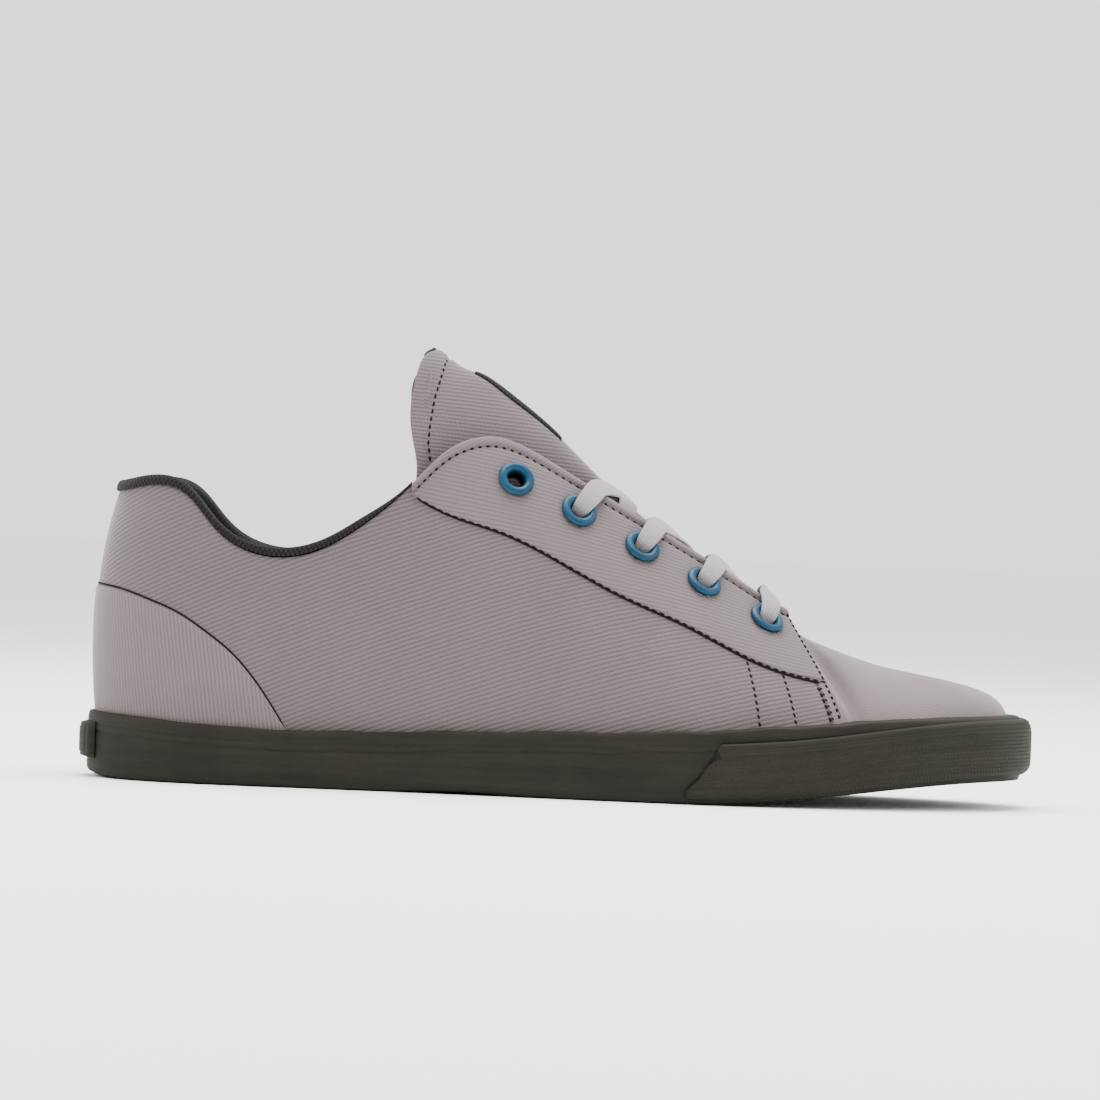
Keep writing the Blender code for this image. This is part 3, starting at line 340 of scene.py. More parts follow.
# A mesh from points and faces; where its signed volume is below zero the faces are turned to face out
def putMesh(name, points, faces, uv, finishes, finishOf=None):
    points = np.asarray(points, float).reshape(-1, 3) - heelShift
    faces = [np.asarray(part).reshape(len(part), -1) for part in faces if len(part)]
    volume = 0.0
    for part in faces:
        for k in range(1, part.shape[1] - 1):
            a, b, c = points[part[:, 0]], points[part[:, k]], points[part[:, k + 1]]
            volume += float(np.einsum("ij,ij->", a, np.cross(b, c)))
    if volume < 0:
        faces = [part[:, ::-1] for part in faces]
    mesh = bpy.data.meshes.new(name)
    mesh.from_pydata(points.tolist(), [], [row for part in faces for row in part.tolist()])
    if uv is not None:
        corners = np.empty(len(mesh.loops), np.int32)
        mesh.loops.foreach_get("vertex_index", corners)
        layer = mesh.uv_layers.new(name="cloth")
        layer.data.foreach_set("uv", np.asarray(uv, float).reshape(-1, 2)[corners].ravel())
    for finish in finishes:
        mesh.materials.append(finish)
    if finishOf is not None:
        mesh.polygons.foreach_set("material_index", np.asarray(finishOf, np.int32))
    mesh.polygons.foreach_set("use_smooth", np.ones(len(mesh.polygons), bool))
    mesh.validate()
    piece = bpy.data.objects.new(name, mesh)
    bpy.context.scene.collection.objects.link(piece)
    return piece


# A cloth or rubber sheet with a wall: the outer grid, the inner grid and a rim round every open edge.
# An edge is open when only one face runs along it. front and back number each face's finish
def sheetMesh(name, outer, inner, uv, finishes, keep=None, ids=None, front=0, back=None):
    rows, cols = outer.shape[:2]
    ids = np.arange(rows * cols).reshape(rows, cols) if ids is None else ids
    quads = np.stack([ids[:-1, :-1], ids[1:, :-1], ids[1:, 1:], ids[:-1, 1:]], -1).reshape(-1, 4)
    back = min(1, len(finishes) - 1) if back is None else back
    front, back = (np.asarray(part) * np.ones((rows - 1, cols - 1)) for part in (front, back))
    kept = np.ones(len(quads), bool) if keep is None else keep.reshape(-1)
    quads, front, back = quads[kept], front.reshape(-1)[kept], back.reshape(-1)[kept]
    starts, ends = quads, np.roll(quads, -1, 1)
    size = int(ids.max()) + 1
    lone = ~np.isin((starts * size + ends).ravel(), (ends * size + starts).ravel())
    a, b = starts.ravel()[lone], ends.ravel()[lone]
    total = rows * cols
    rim = np.stack([b, a, a + total, b + total], -1)
    faces = np.concatenate([quads, quads[:, ::-1] + total, rim])
    finishOf = np.concatenate([front, back, np.repeat(front, 4)[lone]])
    points = np.concatenate([outer.reshape(-1, 3), inner.reshape(-1, 3)])
    used, faces = np.unique(faces, return_inverse=True)
    uv = np.concatenate([uv.reshape(-1, 2)] * 2)
    return putMesh(name, points[used], [faces.reshape(-1, 4)], uv[used], finishes, finishOf)


# A closed profile carried along a path: rings joined by quads, both ends closed by a fan to their
# middle, unless the path is closed itself. inside numbers the finish of each side of the profile
def loftMesh(name, rings, uv, finishes, closed=False, inside=None):
    rings = np.asarray(rings, float)
    count, around = rings.shape[:2]
    ids = np.arange(count * around).reshape(count, around)
    here = ids if closed else ids[:-1]
    ahead = np.roll(ids, -1, 0) if closed else ids[1:]
    quads = np.stack([here, np.roll(here, -1, 1), np.roll(ahead, -1, 1), ahead], -1).reshape(-1, 4)
    points, faces = rings.reshape(-1, 3), [quads]
    uv = np.zeros((count * around, 2)) if uv is None else uv.reshape(-1, 2)
    if not closed:
        middles = np.array([rings[0].mean(0), rings[-1].mean(0)])
        first = np.stack([np.roll(ids[0], -1), ids[0], np.full(around, count * around)], -1)
        final = np.stack([ids[-1], np.roll(ids[-1], -1), np.full(around, count * around + 1)], -1)
        points = np.concatenate([points, middles])
        faces += [np.concatenate([first, final])]
        uv = np.concatenate([uv, uv[[0, -1]]])
    finishOf = None if inside is None else np.tile(inside, len(here))
    return putMesh(name, points, faces, uv, finishes, finishOf)


# Every piece rides the one body and hides the solids that it takes the place of; its slot name is not used
def finishPiece(piece, slotName, *nodes):
    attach(piece, "root")
    if nodes:
        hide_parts(*nodes)
    return piece


# Points evenly spaced over a path's length, with its tangent and the way its surface faces
def evenly(points, facing, pitch):
    lengths = runLength(points)
    spots = np.arange(0.5 * pitch, lengths[-1], pitch)

    def read(values):
        return np.array([np.interp(spots, lengths, values[:, k]) for k in range(3)]).T

    middle, tangent, facing = read(points), unit(read(np.gradient(points, axis=0))), read(facing)
    facing = unit(facing - tangent * np.einsum("ij,ij->i", tangent, facing)[:, None])
    return middle, tangent, facing


# Quads between the rings of a tube; ids has one row for each ring
def tubeFaces(ids):
    ahead = np.roll(ids, -1, 1)
    return np.stack([ids[:-1], ahead[:-1], ahead[1:], ids[1:]], -1).reshape(-1, 4)


# A stitch is a lens: five rings of six points, bowed up by a square along its length, sunk a little
# into the cloth and turned by the tilt. All of a seam's stitches are one mesh
def stitchMesh(name, paths, finish, pitch, length, radius, tilt=0.0):
    sink = 0.00008
    angles = np.arange(6) * math.pi / 3
    spans = np.array([-0.5, -0.36, 0.0, 0.36, 0.5])
    widths = np.array([0.18, 0.85, 1.0, 0.85, 0.18])
    bow = np.repeat(1 - (spans * 2) ** 2, 6) * radius * 0.5
    base = np.stack([
        np.repeat(spans, 6) * length,
        np.outer(widths, np.cos(angles)).ravel() * radius,
        np.outer(widths, np.sin(angles)).ravel() * radius * 0.8 + bow,
    ], -1)
    ids, cap = np.arange(30).reshape(5, 6), [[0, 1, 2, 3], [0, 3, 4, 5]]
    quads = np.concatenate([tubeFaces(ids), ids[0][::-1][cap], ids[4][cap]])
    points, faces, offset = [], [], 0
    for path, facing in paths:
        middle, tangent, normal = evenly(path, facing, pitch)
        across = np.cross(normal, tangent)
        tangent = tangent * math.cos(tilt) + across * math.sin(tilt)
        across = np.cross(normal, tangent)
        placed = middle[:, None] - normal[:, None] * sink + base[None, :, :1] * tangent[:, None]
        placed = placed + base[None, :, 1:2] * across[:, None] + base[None, :, 2:] * normal[:, None]
        points.append(placed.reshape(-1, 3))
        faces.append((quads[None] + (np.arange(len(middle)) * 30)[:, None, None] + offset).reshape(-1, 4))
        offset += len(middle) * 30
    return putMesh(name, np.concatenate(points), [np.concatenate(faces)], None, [finish])


# A thin round thread along a path: circles across it, drawn in at both ends
def threadMesh(name, paths, finish, radius):
    points, faces, offset = [], [], 0
    sides, cap = 8, [[0, 1, 2, 3], [0, 3, 4, 7], [4, 5, 6, 7]]
    angles = (np.arange(sides) * 2 * math.pi / sides)[None, :, None]
    for path, facing in paths:
        middle, tangent, normal = evenly(path, facing, 0.0012)
        across = np.cross(normal, tangent)
        ring = across[:, None] * np.cos(angles) + normal[:, None] * np.sin(angles)
        steps = np.arange(len(middle))
        drawn = np.clip(np.minimum(steps, steps[::-1]) / 2.0, 0.15, 1)
        rings = middle[:, None] + ring * radius * drawn[:, None, None]
        ids = np.arange(len(middle) * sides).reshape(-1, sides) + offset
        points.append(rings.reshape(-1, 3))
        faces += [tubeFaces(ids), ids[0][::-1][cap], ids[-1][cap]]
        offset += len(middle) * sides
    return putMesh(name, np.concatenate(points), [np.concatenate(faces)], None, [finish])


glossSockets = dict(specular="Specular IOR Level", sheen="Sheen Weight", sheenRough="Sheen Roughness",
                    coat="Coat Weight", coatRough="Coat Roughness")


# Short calls for building one material's nodes; where is the piece's own cloth map, place its metres
class Nodes:
    def __init__(self, name, roughness, coordinates="cloth"):
        self.material = bpy.data.materials.new(name)
        self.material.use_nodes = True
        self.tree = self.material.node_tree
        self.shader = self.tree.nodes["Principled BSDF"]
        self.shader.inputs["Roughness"].default_value = roughness
        if coordinates == "cloth":
            where = self.tree.nodes.new("ShaderNodeUVMap")
            where.uv_map = "cloth"
            self.where = where.outputs["UV"]
        else:
            self.where = self.tree.nodes.new("ShaderNodeTexCoord").outputs["Object"]
        self.place = self.tree.nodes.new("ShaderNodeTexCoord").outputs["Object"]

    # A node of a kind, with its settings
    def node(self, kind, **values):
        made = self.tree.nodes.new(kind)
        for key, value in values.items():
            setattr(made, key, value)
        return made

    # A link where the value is another node's output, and a plain number or colour otherwise
    def plug(self, socket, value):
        if hasattr(value, "links"):
            self.tree.links.new(value, socket)
        else:
            socket.default_value = value

    def math(self, operation, a, b=0.0, c=0.0):
        made = self.node("ShaderNodeMath", operation=operation)
        for socket, value in zip(made.inputs, (a, b, c)):
            self.plug(socket, value)
        return made.outputs[0]

    # A sine lifted and halved, so that it runs from nought to one
    def wave(self, phase):
        return self.math("MULTIPLY_ADD", self.math("SINE", phase), 0.5, 0.5)

    # The cloth map turned by degrees and scaled
    def turned(self, angle, scale=(1, 1, 1)):
        made = self.node("ShaderNodeMapping")
        self.plug(made.inputs["Vector"], self.where)
        made.inputs["Rotation"].default_value = (0, 0, math.radians(angle))
        made.inputs["Scale"].default_value = scale
        return made.outputs["Vector"]

    def parts(self, vector):
        made = self.node("ShaderNodeSeparateXYZ")
        self.plug(made.inputs[0], vector)
        return made.outputs

    def noise(self, scale, detail, rough=0.5, vector=None):
        made = self.node("ShaderNodeTexNoise")
        self.plug(made.inputs["Vector"], vector or self.place)
        made.inputs["Scale"].default_value = scale
        made.inputs["Detail"].default_value = detail
        made.inputs["Roughness"].default_value = rough
        return made.outputs["Fac"]

    # Colours at stops along the value
    def ramp(self, value, *stops):
        made = self.node("ShaderNodeValToRGB")
        self.plug(made.inputs["Fac"], value)
        band = made.color_ramp
        while len(band.elements) < len(stops):
            band.elements.new(0.5)
        for element, (place, colour) in zip(band.elements, stops):
            element.position = place
            element.color = (*colour, 1) if len(colour) == 3 else (colour[0],) * 3 + (1,)
        return made.outputs["Color"]

    def mix(self, share, a, b, blend="MIX"):
        made = self.node("ShaderNodeMix", data_type="RGBA", blend_type=blend)
        self.plug(made.inputs[0], share)
        self.plug(made.inputs[6], a if hasattr(a, "links") else (*a, 1))
        self.plug(made.inputs[7], b if hasattr(b, "links") else (*b, 1))
        return made.outputs[2]

    # Relief in metres, on top of the relief below it
    def bump(self, height, distance, strength, below=None):
        made = self.node("ShaderNodeBump")
        made.inputs["Strength"].default_value = strength
        made.inputs["Distance"].default_value = distance
        self.plug(made.inputs["Height"], height)
        if below is not None:
            self.plug(made.inputs["Normal"], below)
        return made.outputs["Normal"]

    # Uniform numbers go straight to the shader's own sockets
    def gloss(self, **values):
        for key, value in values.items():
            self.shader.inputs[glossSockets[key]].default_value = value

    def finish(self, colour, normal=None):
        self.plug(self.shader.inputs["Base Color"], colour if hasattr(colour, "links") else (*colour, 1))
        if normal is not None:
            self.plug(self.shader.inputs["Normal"], normal)
        return self.material


canvas = dict(ridge=(0.148, 0.122, 0.124), valley=(0.064, 0.051, 0.053), pitch=0.00137, depth=0.00012,
              sheen=0.22, lowDarkening=(0.052, 0.044, 0.041))


# Twill: slanting ribs are a sine across the cloth, each made of short threads by a second sine whose
# phase steps from rib to rib; fibres and wash are noises over them, and the cloth darkens towards the floor
# in patches
def twillCloth(name, angle, pitch, contrast, relief, tone):
    cloth = Nodes(name, 0.88)
    x, y = cloth.parts(cloth.turned(-angle))[:2]
    wander = cloth.math("MULTIPLY", cloth.math("SUBTRACT", cloth.noise(180, 1), 0.5), 0.35 * pitch)
    across = cloth.math("DIVIDE", cloth.math("ADD", y, wander), pitch)
    rib = cloth.math("POWER", cloth.wave(cloth.math("MULTIPLY", across, 2 * math.pi)), 0.75)
    step = cloth.math("MULTIPLY", cloth.math("FLOOR", across), 2.3)
    along = cloth.math("MULTIPLY_ADD", x, 2 * math.pi / (0.62 * pitch), step)
    thread = cloth.wave(along)
    woven = cloth.math("ADD", cloth.math("MULTIPLY", rib, 0.76), cloth.math("MULTIPLY", thread, 0.24))
    fibres = cloth.noise(2600, 3, 0.6)
    level = cloth.math("MULTIPLY_ADD", cloth.math("SUBTRACT", woven, 0.55), 0.80 * contrast, 0.30)
    tint = cloth.math("MULTIPLY_ADD", fibres, 0.45, level)
    # tone scales the canvas's colours for each piece: painted light and shade, lighter where the piece faces
    # up or stands at the heel, darker on the side
    valley, ridge = (tuple(v * tone for v in canvas[k]) for k in ("valley", "ridge"))
    middle = tuple(0.52 * (a + b) for a, b in zip(valley, ridge))
    colour = cloth.ramp(tint, (0.12, valley), (0.50, middle), (0.88, ridge))
    wash = cloth.ramp(cloth.noise(22, 3, 0.55), (0.3, (0.88, 0.88, 0.88)), (0.7, (1.0, 1.0, 1.0)))
    colour = cloth.mix(0.8, colour, wash, "MULTIPLY")
    # Darker towards the floor: within 34 mm of it the colour is mixed, in patches of a noise, towards a
    # darker tone
    height = cloth.parts(cloth.place)[2]
    reach = cloth.math("SMOOTH_MIN", cloth.math("DIVIDE", height, 0.034), 1.0, 0.4)
    patchy = cloth.math("MULTIPLY_ADD", cloth.noise(60, 3, 0.6), 0.5, 0.1)
    lowDarkening = cloth.math("MULTIPLY", cloth.math("SUBTRACT", 1.0, reach), patchy)
    colour = cloth.mix(lowDarkening, colour, canvas["lowDarkening"])
    fine = cloth.bump(fibres, 0.00005, 0.6)
    normal = cloth.bump(woven, canvas["depth"] * relief, 0.9, fine)
    cloth.gloss(sheen=canvas["sheen"], sheenRough=0.4, specular=0.2)
    return cloth.finish(colour, normal)


# Knit: rows of small loops, a product of two sines, the rows shifted by half a loop
def knitCloth(name, dark, light, pitch):
    knit = Nodes(name, 0.95)
    x, y = knit.parts(knit.where)[:2]
    row = knit.math("DIVIDE", y, pitch)
    shift = knit.math("MULTIPLY", knit.math("FLOOR", row), math.pi)
    loops = knit.math("SINE", knit.math("MULTIPLY_ADD", x, 2 * math.pi / (1.3 * pitch), shift))
    rows = knit.math("SINE", knit.math("MULTIPLY", row, 2 * math.pi))
    height = knit.math("MULTIPLY_ADD", knit.math("MULTIPLY", loops, rows), 0.5, 0.5)
    fuzz = knit.noise(1700, 3, 0.6)
    blend = knit.math("ADD", knit.math("MULTIPLY", height, 0.6), knit.math("MULTIPLY", fuzz, 0.5))
    colour = knit.ramp(blend, (0.25, dark), (0.9, light))
    knit.gloss(sheen=0.05, specular=0.08)
    return knit.finish(colour, knit.bump(height, 0.00035, 0.9, knit.bump(fuzz, 0.00008, 0.5)))


# Rubber: streaks along the strip and clouds blend two tones, specks lighten them, and a fine grain
# and the streaks stand out; bands adds the relief of a moulded face
def soleRubber(name, base, light, roughness, bands=None):
    rubber = Nodes(name, roughness)
    grain = rubber.noise(900, 4, 0.6)
    cloudy = rubber.noise(38, 4, 0.6)
    streaks = rubber.noise(1.0, 3, 0.6, rubber.turned(0, (14, 420, 1)))
    blend = rubber.math("MULTIPLY_ADD", streaks, 0.5, rubber.math("MULTIPLY", cloudy, 0.5))
    colour = rubber.ramp(blend, (0.36, base), (0.64, light))
    speck = rubber.ramp(rubber.noise(420, 4, 0.75), (0.58, (1.0, 1.0, 1.0)), (0.74, (1.4, 1.38, 1.32)))
    colour = rubber.mix(0.6, colour, speck, "MULTIPLY")
    normal = rubber.bump(streaks, 0.00006, 0.5, rubber.bump(grain, 0.00005, 0.8))
    if bands:
        normal = bands(rubber, *rubber.parts(rubber.where)[:2], normal)
    rubber.gloss(specular=0.08)
    return rubber.finish(colour, normal)


# The bumper's face: fine level ridges, cut across into small lozenges, with the top left plain
def lozengeBands(rubber, x, y, below):
    rowPitch, lozenge = 0.00115, 0.00125
    row = rubber.math("DIVIDE", y, rowPitch)
    rowWave = rubber.math("SINE", rubber.math("MULTIPLY", row, 2 * math.pi))
    shift = rubber.math("MULTIPLY", rubber.math("FLOOR", row), math.pi)
    cutWave = rubber.math("SINE", rubber.math("MULTIPLY_ADD", x, 2 * math.pi / lozenge, shift))
    both = rubber.math("MULTIPLY_ADD", cutWave, 0.30, rubber.math("MULTIPLY", rowWave, 0.5))
    height = rubber.math("MULTIPLY", both, rubber.math("GREATER_THAN", y, 0.0))
    return rubber.bump(height, 0.00022, 1.0, below)


# Foxing: faint wavy lines where the strip was pressed on
def pressedBands(rubber, x, y, below):
    wave = rubber.math("MULTIPLY_ADD", rubber.noise(70, 2), 0.0016, y)
    lines = rubber.math("PINGPONG", rubber.math("DIVIDE", wave, 0.0031), 0.5)
    soft = rubber.math("SMOOTH_MIN", lines, 0.12, 0.08)
    return rubber.bump(soft, 0.0005, 0.35, below)


# Slope of the ribs in degrees, their pitch, contrast and relief, and the tone of the cloth. The tones paint
# light and shade
# on one and the same canvas: the vamp, facing up, painted lightest, the counter, folds and eyestays lighter,
# the quarter's side darker
twillQuarter = twillCloth("twillQuarter", 20, canvas["pitch"], 0.80, 1.0, 0.94)
twillCounter = twillCloth("twillCounter", 98, 0.0012, 0.6, 0.8, 1.16)
twillEyestay = twillCloth("twillEyestay", -9, 0.00138, 0.52, 0.7, 1.08)
twillFold = twillCloth("twillFold", 35, 0.0010, 0.4, 0.7, 1.18)
twillVamp = twillCloth("twillVamp", 1, 0.0013, 0.35, 0.45, 1.34)
twillTongue = twillCloth("twillTongue", -12, 0.00128, 0.75, 0.9, 1.06)
drillLining = knitCloth("drillLining", (0.020, 0.018, 0.018), (0.045, 0.041, 0.041), 0.0011)
collarKnit = knitCloth("collarKnit", (0.003, 0.0027, 0.0027), (0.017, 0.0152, 0.0155), 0.0011)
footbedCloth = knitCloth("footbedCloth", (0.030, 0.027, 0.027), (0.070, 0.064, 0.062), 0.0010)
foxingRubber = soleRubber("foxingRubber", (0.0105, 0.0098, 0.0072), (0.0170, 0.0158, 0.0120), 0.60,
                          bands=pressedBands)
# The bumper is the same rubber as the foxing, its tones about a fifth lighter: painted light, the toe's
# reflection
bumperRubber = soleRubber("bumperRubber", (0.0125, 0.0115, 0.0085), (0.0200, 0.0186, 0.0140), 0.62,
                          bands=lozengeBands)
treadRubber = soleRubber("treadRubber", (0.0120, 0.0110, 0.0084), (0.0195, 0.0180, 0.0138), 0.65)


# Thread and foam: one tone, paler and darker by a fine noise
def threadFinish(name, colour):
    thread = Nodes(name, 0.8, "object")
    tone = thread.ramp(thread.noise(1500, 2), (0.3, tuple(0.6 * c for c in colour)), (0.7, colour))
    thread.gloss(specular=0.08)
    return thread.finish(tone, thread.bump(thread.noise(2600, 2), 0.00006, 0.8))


# Near-black thread for the stitches; the same finish is painted shade in the dark lines along the eyestays',
# quarter's and counter's edges and inside the eyelets' holes
darkThreadAndShade = threadFinish("darkThreadAndShade", (0.008, 0.0065, 0.007))
foamFinish = threadFinish("foamFinish", (0.20, 0.185, 0.17))


# Enamel: a thin clear coat over blue paint mottled by a noise, with a soft orange peel
def enamelFinish():
    enamel = Nodes("blueEnamel", 0.35, "object")
    tone = enamel.ramp(enamel.noise(260, 3), (0.35, (0.000, 0.024, 0.052)), (0.75, (0.000, 0.040, 0.082)))
    enamel.gloss(coat=0.08, coatRough=0.25, specular=0.15)
    return enamel.finish(tone, enamel.bump(enamel.noise(700, 2), 0.00003, 0.5))


# Lace: two families of slanting threads meeting on the middle line, like a flat braid
def laceFinish():
    lace = Nodes("laceCotton", 0.85)
    x, y = lace.parts(lace.where)[:2]
    slant = lace.math("ADD", x, lace.math("ABSOLUTE", y))
    braid = lace.wave(lace.math("MULTIPLY", slant, 2 * math.pi / 0.0009))
    strand = lace.wave(lace.math("MULTIPLY", y, 2 * math.pi / 0.00085))
    height = lace.math("MULTIPLY_ADD", strand, 0.5, lace.math("MULTIPLY", braid, 0.5))
    fuzz = lace.noise(2400, 2)
    tone = lace.ramp(lace.math("MULTIPLY_ADD", height, 0.5, lace.math("MULTIPLY", fuzz, 0.5)),
                     (0.2, (0.160, 0.142, 0.147)), (0.75, (0.265, 0.240, 0.247)))
    lace.gloss(sheen=0.15)
    return lace.finish(tone, lace.bump(height, 0.00012, 0.9, lace.bump(fuzz, 0.00004, 0.5)))


blueEnamel, laceCotton = enamelFinish(), laceFinish()
labelTape = knitCloth("labelTape", (0.005, 0.005, 0.005), (0.018, 0.017, 0.017), 0.0009)
print("shoe: materials made")

upperShape = dict(columns=200, rows=72, fineColumns=30, fineReach=0.018, fold=0.00050, foldWidth=0.0028,
                  groove=0.0003, shear=0.45, shearFrom=0.121)
eyeletRow = dict(first=0.4540, final=0.7585, count=5, below=0.0142, clear=0.0039, deep=0.008)


# Eyelets: their turns, places, the way each faces and the way to the throat's edge, evenly spaced
# along the foot and one distance below the edge
def eyeletFrames(side):
    turn = turnOf(np.linspace(eyeletRow["first"], eyeletRow["final"], eyeletRow["count"]))
    up = upBelow(turn, eyeletRow["below"], side)
    centre, facing = skin(turn, up, side)
    return turn, centre, facing, unit(skin(turn, up + 0.01, side)[0] - centre)


eyelets = {side: eyeletFrames(side) for side in (lateral, medial)}


# A face of a grid is kept unless a corner of it lies within the barrel's clearance of an eyelet's axis
def outsideEyelets(grid, sides=(lateral, medial)):
    clear = np.ones(grid.shape[:2], bool)
    for side in sides:
        for centre, facing in zip(eyelets[side][1], eyelets[side][2]):
            away = grid - centre
            depth = away @ facing
            radial = np.linalg.norm(away - depth[..., None] * facing, axis=-1)
            clear &= ~((radial < eyeletRow["clear"]) & (np.abs(depth) < eyeletRow["deep"]))
    return clear[:-1, :-1] & clear[1:, :-1] & clear[1:, 1:] & clear[:-1, 1:]


# Height on the cloth: the running length up each column, leaving out its forward lean, so that a rib
# keeps its slope from column to column
def clothHeight(grid):
    rises = np.hypot(*np.moveaxis(np.diff(grid, axis=1)[..., 1:], -1, 0))
    return np.insert(np.cumsum(rises, 1), 0, 0, axis=1) + grid[:, :1, 2]


# Cloth coordinates in metres: round the shoe along its plan, and up each column. The ribs lean less
# and less towards the toe, so the cloth is sheared by a square of the distance
def clothMap(grid, middleRow):
    line = grid[:, middleRow]
    around = runLength(line[:, :2])
    around = around - around[len(around) // 2]
    forward = np.where(np.arange(len(line)) < len(line) // 2, -1.0, 1.0)
    u = around[:, None] + (grid[..., 0] - line[:, None, 0]) * forward[:, None]
    shear = upperShape["shear"] * (grid[..., 0] - upperShape["shearFrom"]) ** 2
    return np.stack([-u, clothHeight(grid) + shear], -1)


# One half from the heel's middle to the last turn on each side, with finer columns over the last bit
def roundHeel(build, lastTurn, count, fine=0):
    half = np.linspace(0, lastTurn, count)
    if fine:
        fineStart = lastTurn - upperShape["fineReach"]
        half = np.concatenate([half[half < fineStart], np.linspace(fineStart, lastTurn, fine)])
    return np.concatenate([build(half, lateral)[::-1], build(half[1:], medial)])


# Length over the surface for a small step of turn near the quarter's front edge
edgeTurn = float(turnOf(quarterEdge))
turnLength = last["soleLength"] * math.pi / 2 * math.sin(math.pi * edgeTurn)


# Quarter: its front edge is folded under, a half ellipse raised over the stitched groove behind it
def quarterSheet(offset, raised):
    ups = np.linspace(0, 1, upperShape["rows"])[None, :]

    def build(turn, side):
        toEdge = (edgeTurn - turn)[:, None] * turnLength
        half = 0.5 * upperShape["foldWidth"]
        fold = upperShape["fold"] * np.sqrt(np.clip(1 - ((toEdge - half) / (1.1 * half)) ** 2, 0, 1))
        groove = np.exp(-(((toEdge - upperShape["foldWidth"] - 0.0006) / 0.0006) ** 2))
        return skin(turn[:, None], ups, side, offset + raised * (fold - upperShape["groove"] * groove))[0]

    return roundHeel(build, edgeTurn, upperShape["columns"], upperShape["fineColumns"])


quarterOut, quarterIn = quarterSheet(0.0, 1.0), quarterSheet(-last["wall"], 0.0)
foldShare = upperShape["foldWidth"] / (upperShape["fineReach"] * turnLength)
foldColumns = int(upperShape["fineColumns"] * foldShare)
nearFold = np.ones(len(quarterOut) - 1)
nearFold[foldColumns:-foldColumns] = 0
quarter = sheetMesh("quarterCanvas", quarterOut, quarterIn, clothMap(quarterOut, 30),
                    [twillQuarter, drillLining, twillFold], keep=outsideEyelets(quarterOut),
                    front=2 * nearFold[:, None])
finishPiece(quarter, "canvas", "upper")


vampShape = dict(tucked=0.016, tuckedColumns=14, columns=74, rows=56, top=0.060, falling=0.7)


# Vamp: one dome over the toe, tucked under the quarter's front edge. Past the throat both sides
# share the points of the ridge. The cloth runs straight over the toe: what falls to the side adds to
# one direction of its map, what falls forwards to the other, by how the surface faces
def vampSheet():
    middle = float(turnOf(throatEnd))
    tucked = np.linspace(edgeTurn - vampShape["tucked"], middle, vampShape["tuckedColumns"])[:-1]
    turn = np.concatenate([tucked, np.linspace(middle, 1, vampShape["columns"])])
    up = np.linspace(0, 1, vampShape["rows"])
    ridge = turn >= middle - 1e-9
    grids = []
    for depth in (-last["seamStep"], -last["wall"]):
        halves = [skin(turn[:, None], up[None, :], side, depth)[0] for side in (lateral, medial)]
        halves[0][ridge, -1, 1] = 0
        halves[1][ridge, -1] = halves[0][ridge, -1]
        grids.append(np.concatenate([halves[0], halves[1][:-1][::-1]]))
    outer, inner = grids
    count, rows = outer.shape[:2]
    ids = np.arange(count * rows).reshape(count, rows)
    joined = np.flatnonzero(ridge[:-1])
    ids[count - 1 - joined, -1] = ids[joined, -1]
    facing = np.abs(normalsOf(outer))
    sideways = facing[..., 1] ** 2 / (facing[..., 0] ** 2 + facing[..., 1] ** 2 + 1e-9)
    fallen = vampShape["falling"] * (vampShape["top"] - outer[..., 2])
    v = np.sign(outer[..., 1]) * (np.abs(outer[..., 1]) + fallen * sideways)
    return outer, inner, np.stack([outer[..., 0] + fallen * (1 - sideways), v], -1), ids


vampOut, vampIn, vampUv, vampIds = vampSheet()
vamp = sheetMesh("vampCanvas", vampOut, vampIn, vampUv, [twillVamp, drillLining], ids=vampIds)
finishPiece(vamp, "canvas", "upper")

counterShape = dict(columns=120, rows=26, thick=last["seamStep"], lift=0.00006, edge=0.0009, endFoot=0.215)


# Counter: a second layer from the sole up to its seam, its upper edge rounded as a quarter circle
def counterSheet(thick):
    def build(turn, side):
        seam = np.clip(upAt(turn, counterHeight(turn), side), 0.05, 0.8)
        up = seam[:, None] * np.linspace(0.0, 1.0, counterShape["rows"]) ** 0.75
        rounding = roundedEdge(belowEdge(skin(turn[:, None], up, side)[0]), counterShape["edge"])
        return skin(turn[:, None], up, side, counterShape["lift"] + thick * rounding)[0]

    return roundHeel(build, float(turnOf(counterShape["endFoot"])), counterShape["columns"])


counterOut, counterIn = counterSheet(counterShape["thick"]), counterSheet(0.0)
counter = sheetMesh("heelCounter", counterOut, counterIn, clothMap(counterOut, 12), [twillCounter])
finishPiece(counter, "canvas", "upper")
print("shoe: canvas upper made")

eyestayShape = dict(columns=230, frontColumns=14, middleRows=18, lift=0.00035, thick=0.0009, edge=0.0008,
                    fold=0.00085, foldWidth=0.0029, groove=0.00045, stitch=0.0035, beadRows=10)
# Rows of the grid as millimetres from its top edge and from its lower edge, close where it is rolled
topRows = np.array([0, 0.1, 0.3, 0.6, 1.0, 1.45, 1.9, 2.3, 2.6, 2.85, 3.1, 3.4, 3.7, 4.0, 4.5]) / 1000
lowRows = np.array([2.6, 2.2, 1.9, 1.6, 1.3, 0.9, 0.5, 0.2, 0.0]) / 1000


# How far up each column the eyestay's lower edge lies: the spline of its table
def eyestayLow(turn, side):
    height = last["instepHeight"] * naturalSpline(eyestayTable["foot"], eyestayTable["height"], footOf(turn))
    return np.minimum(upAt(turn, height, side), 0.975)


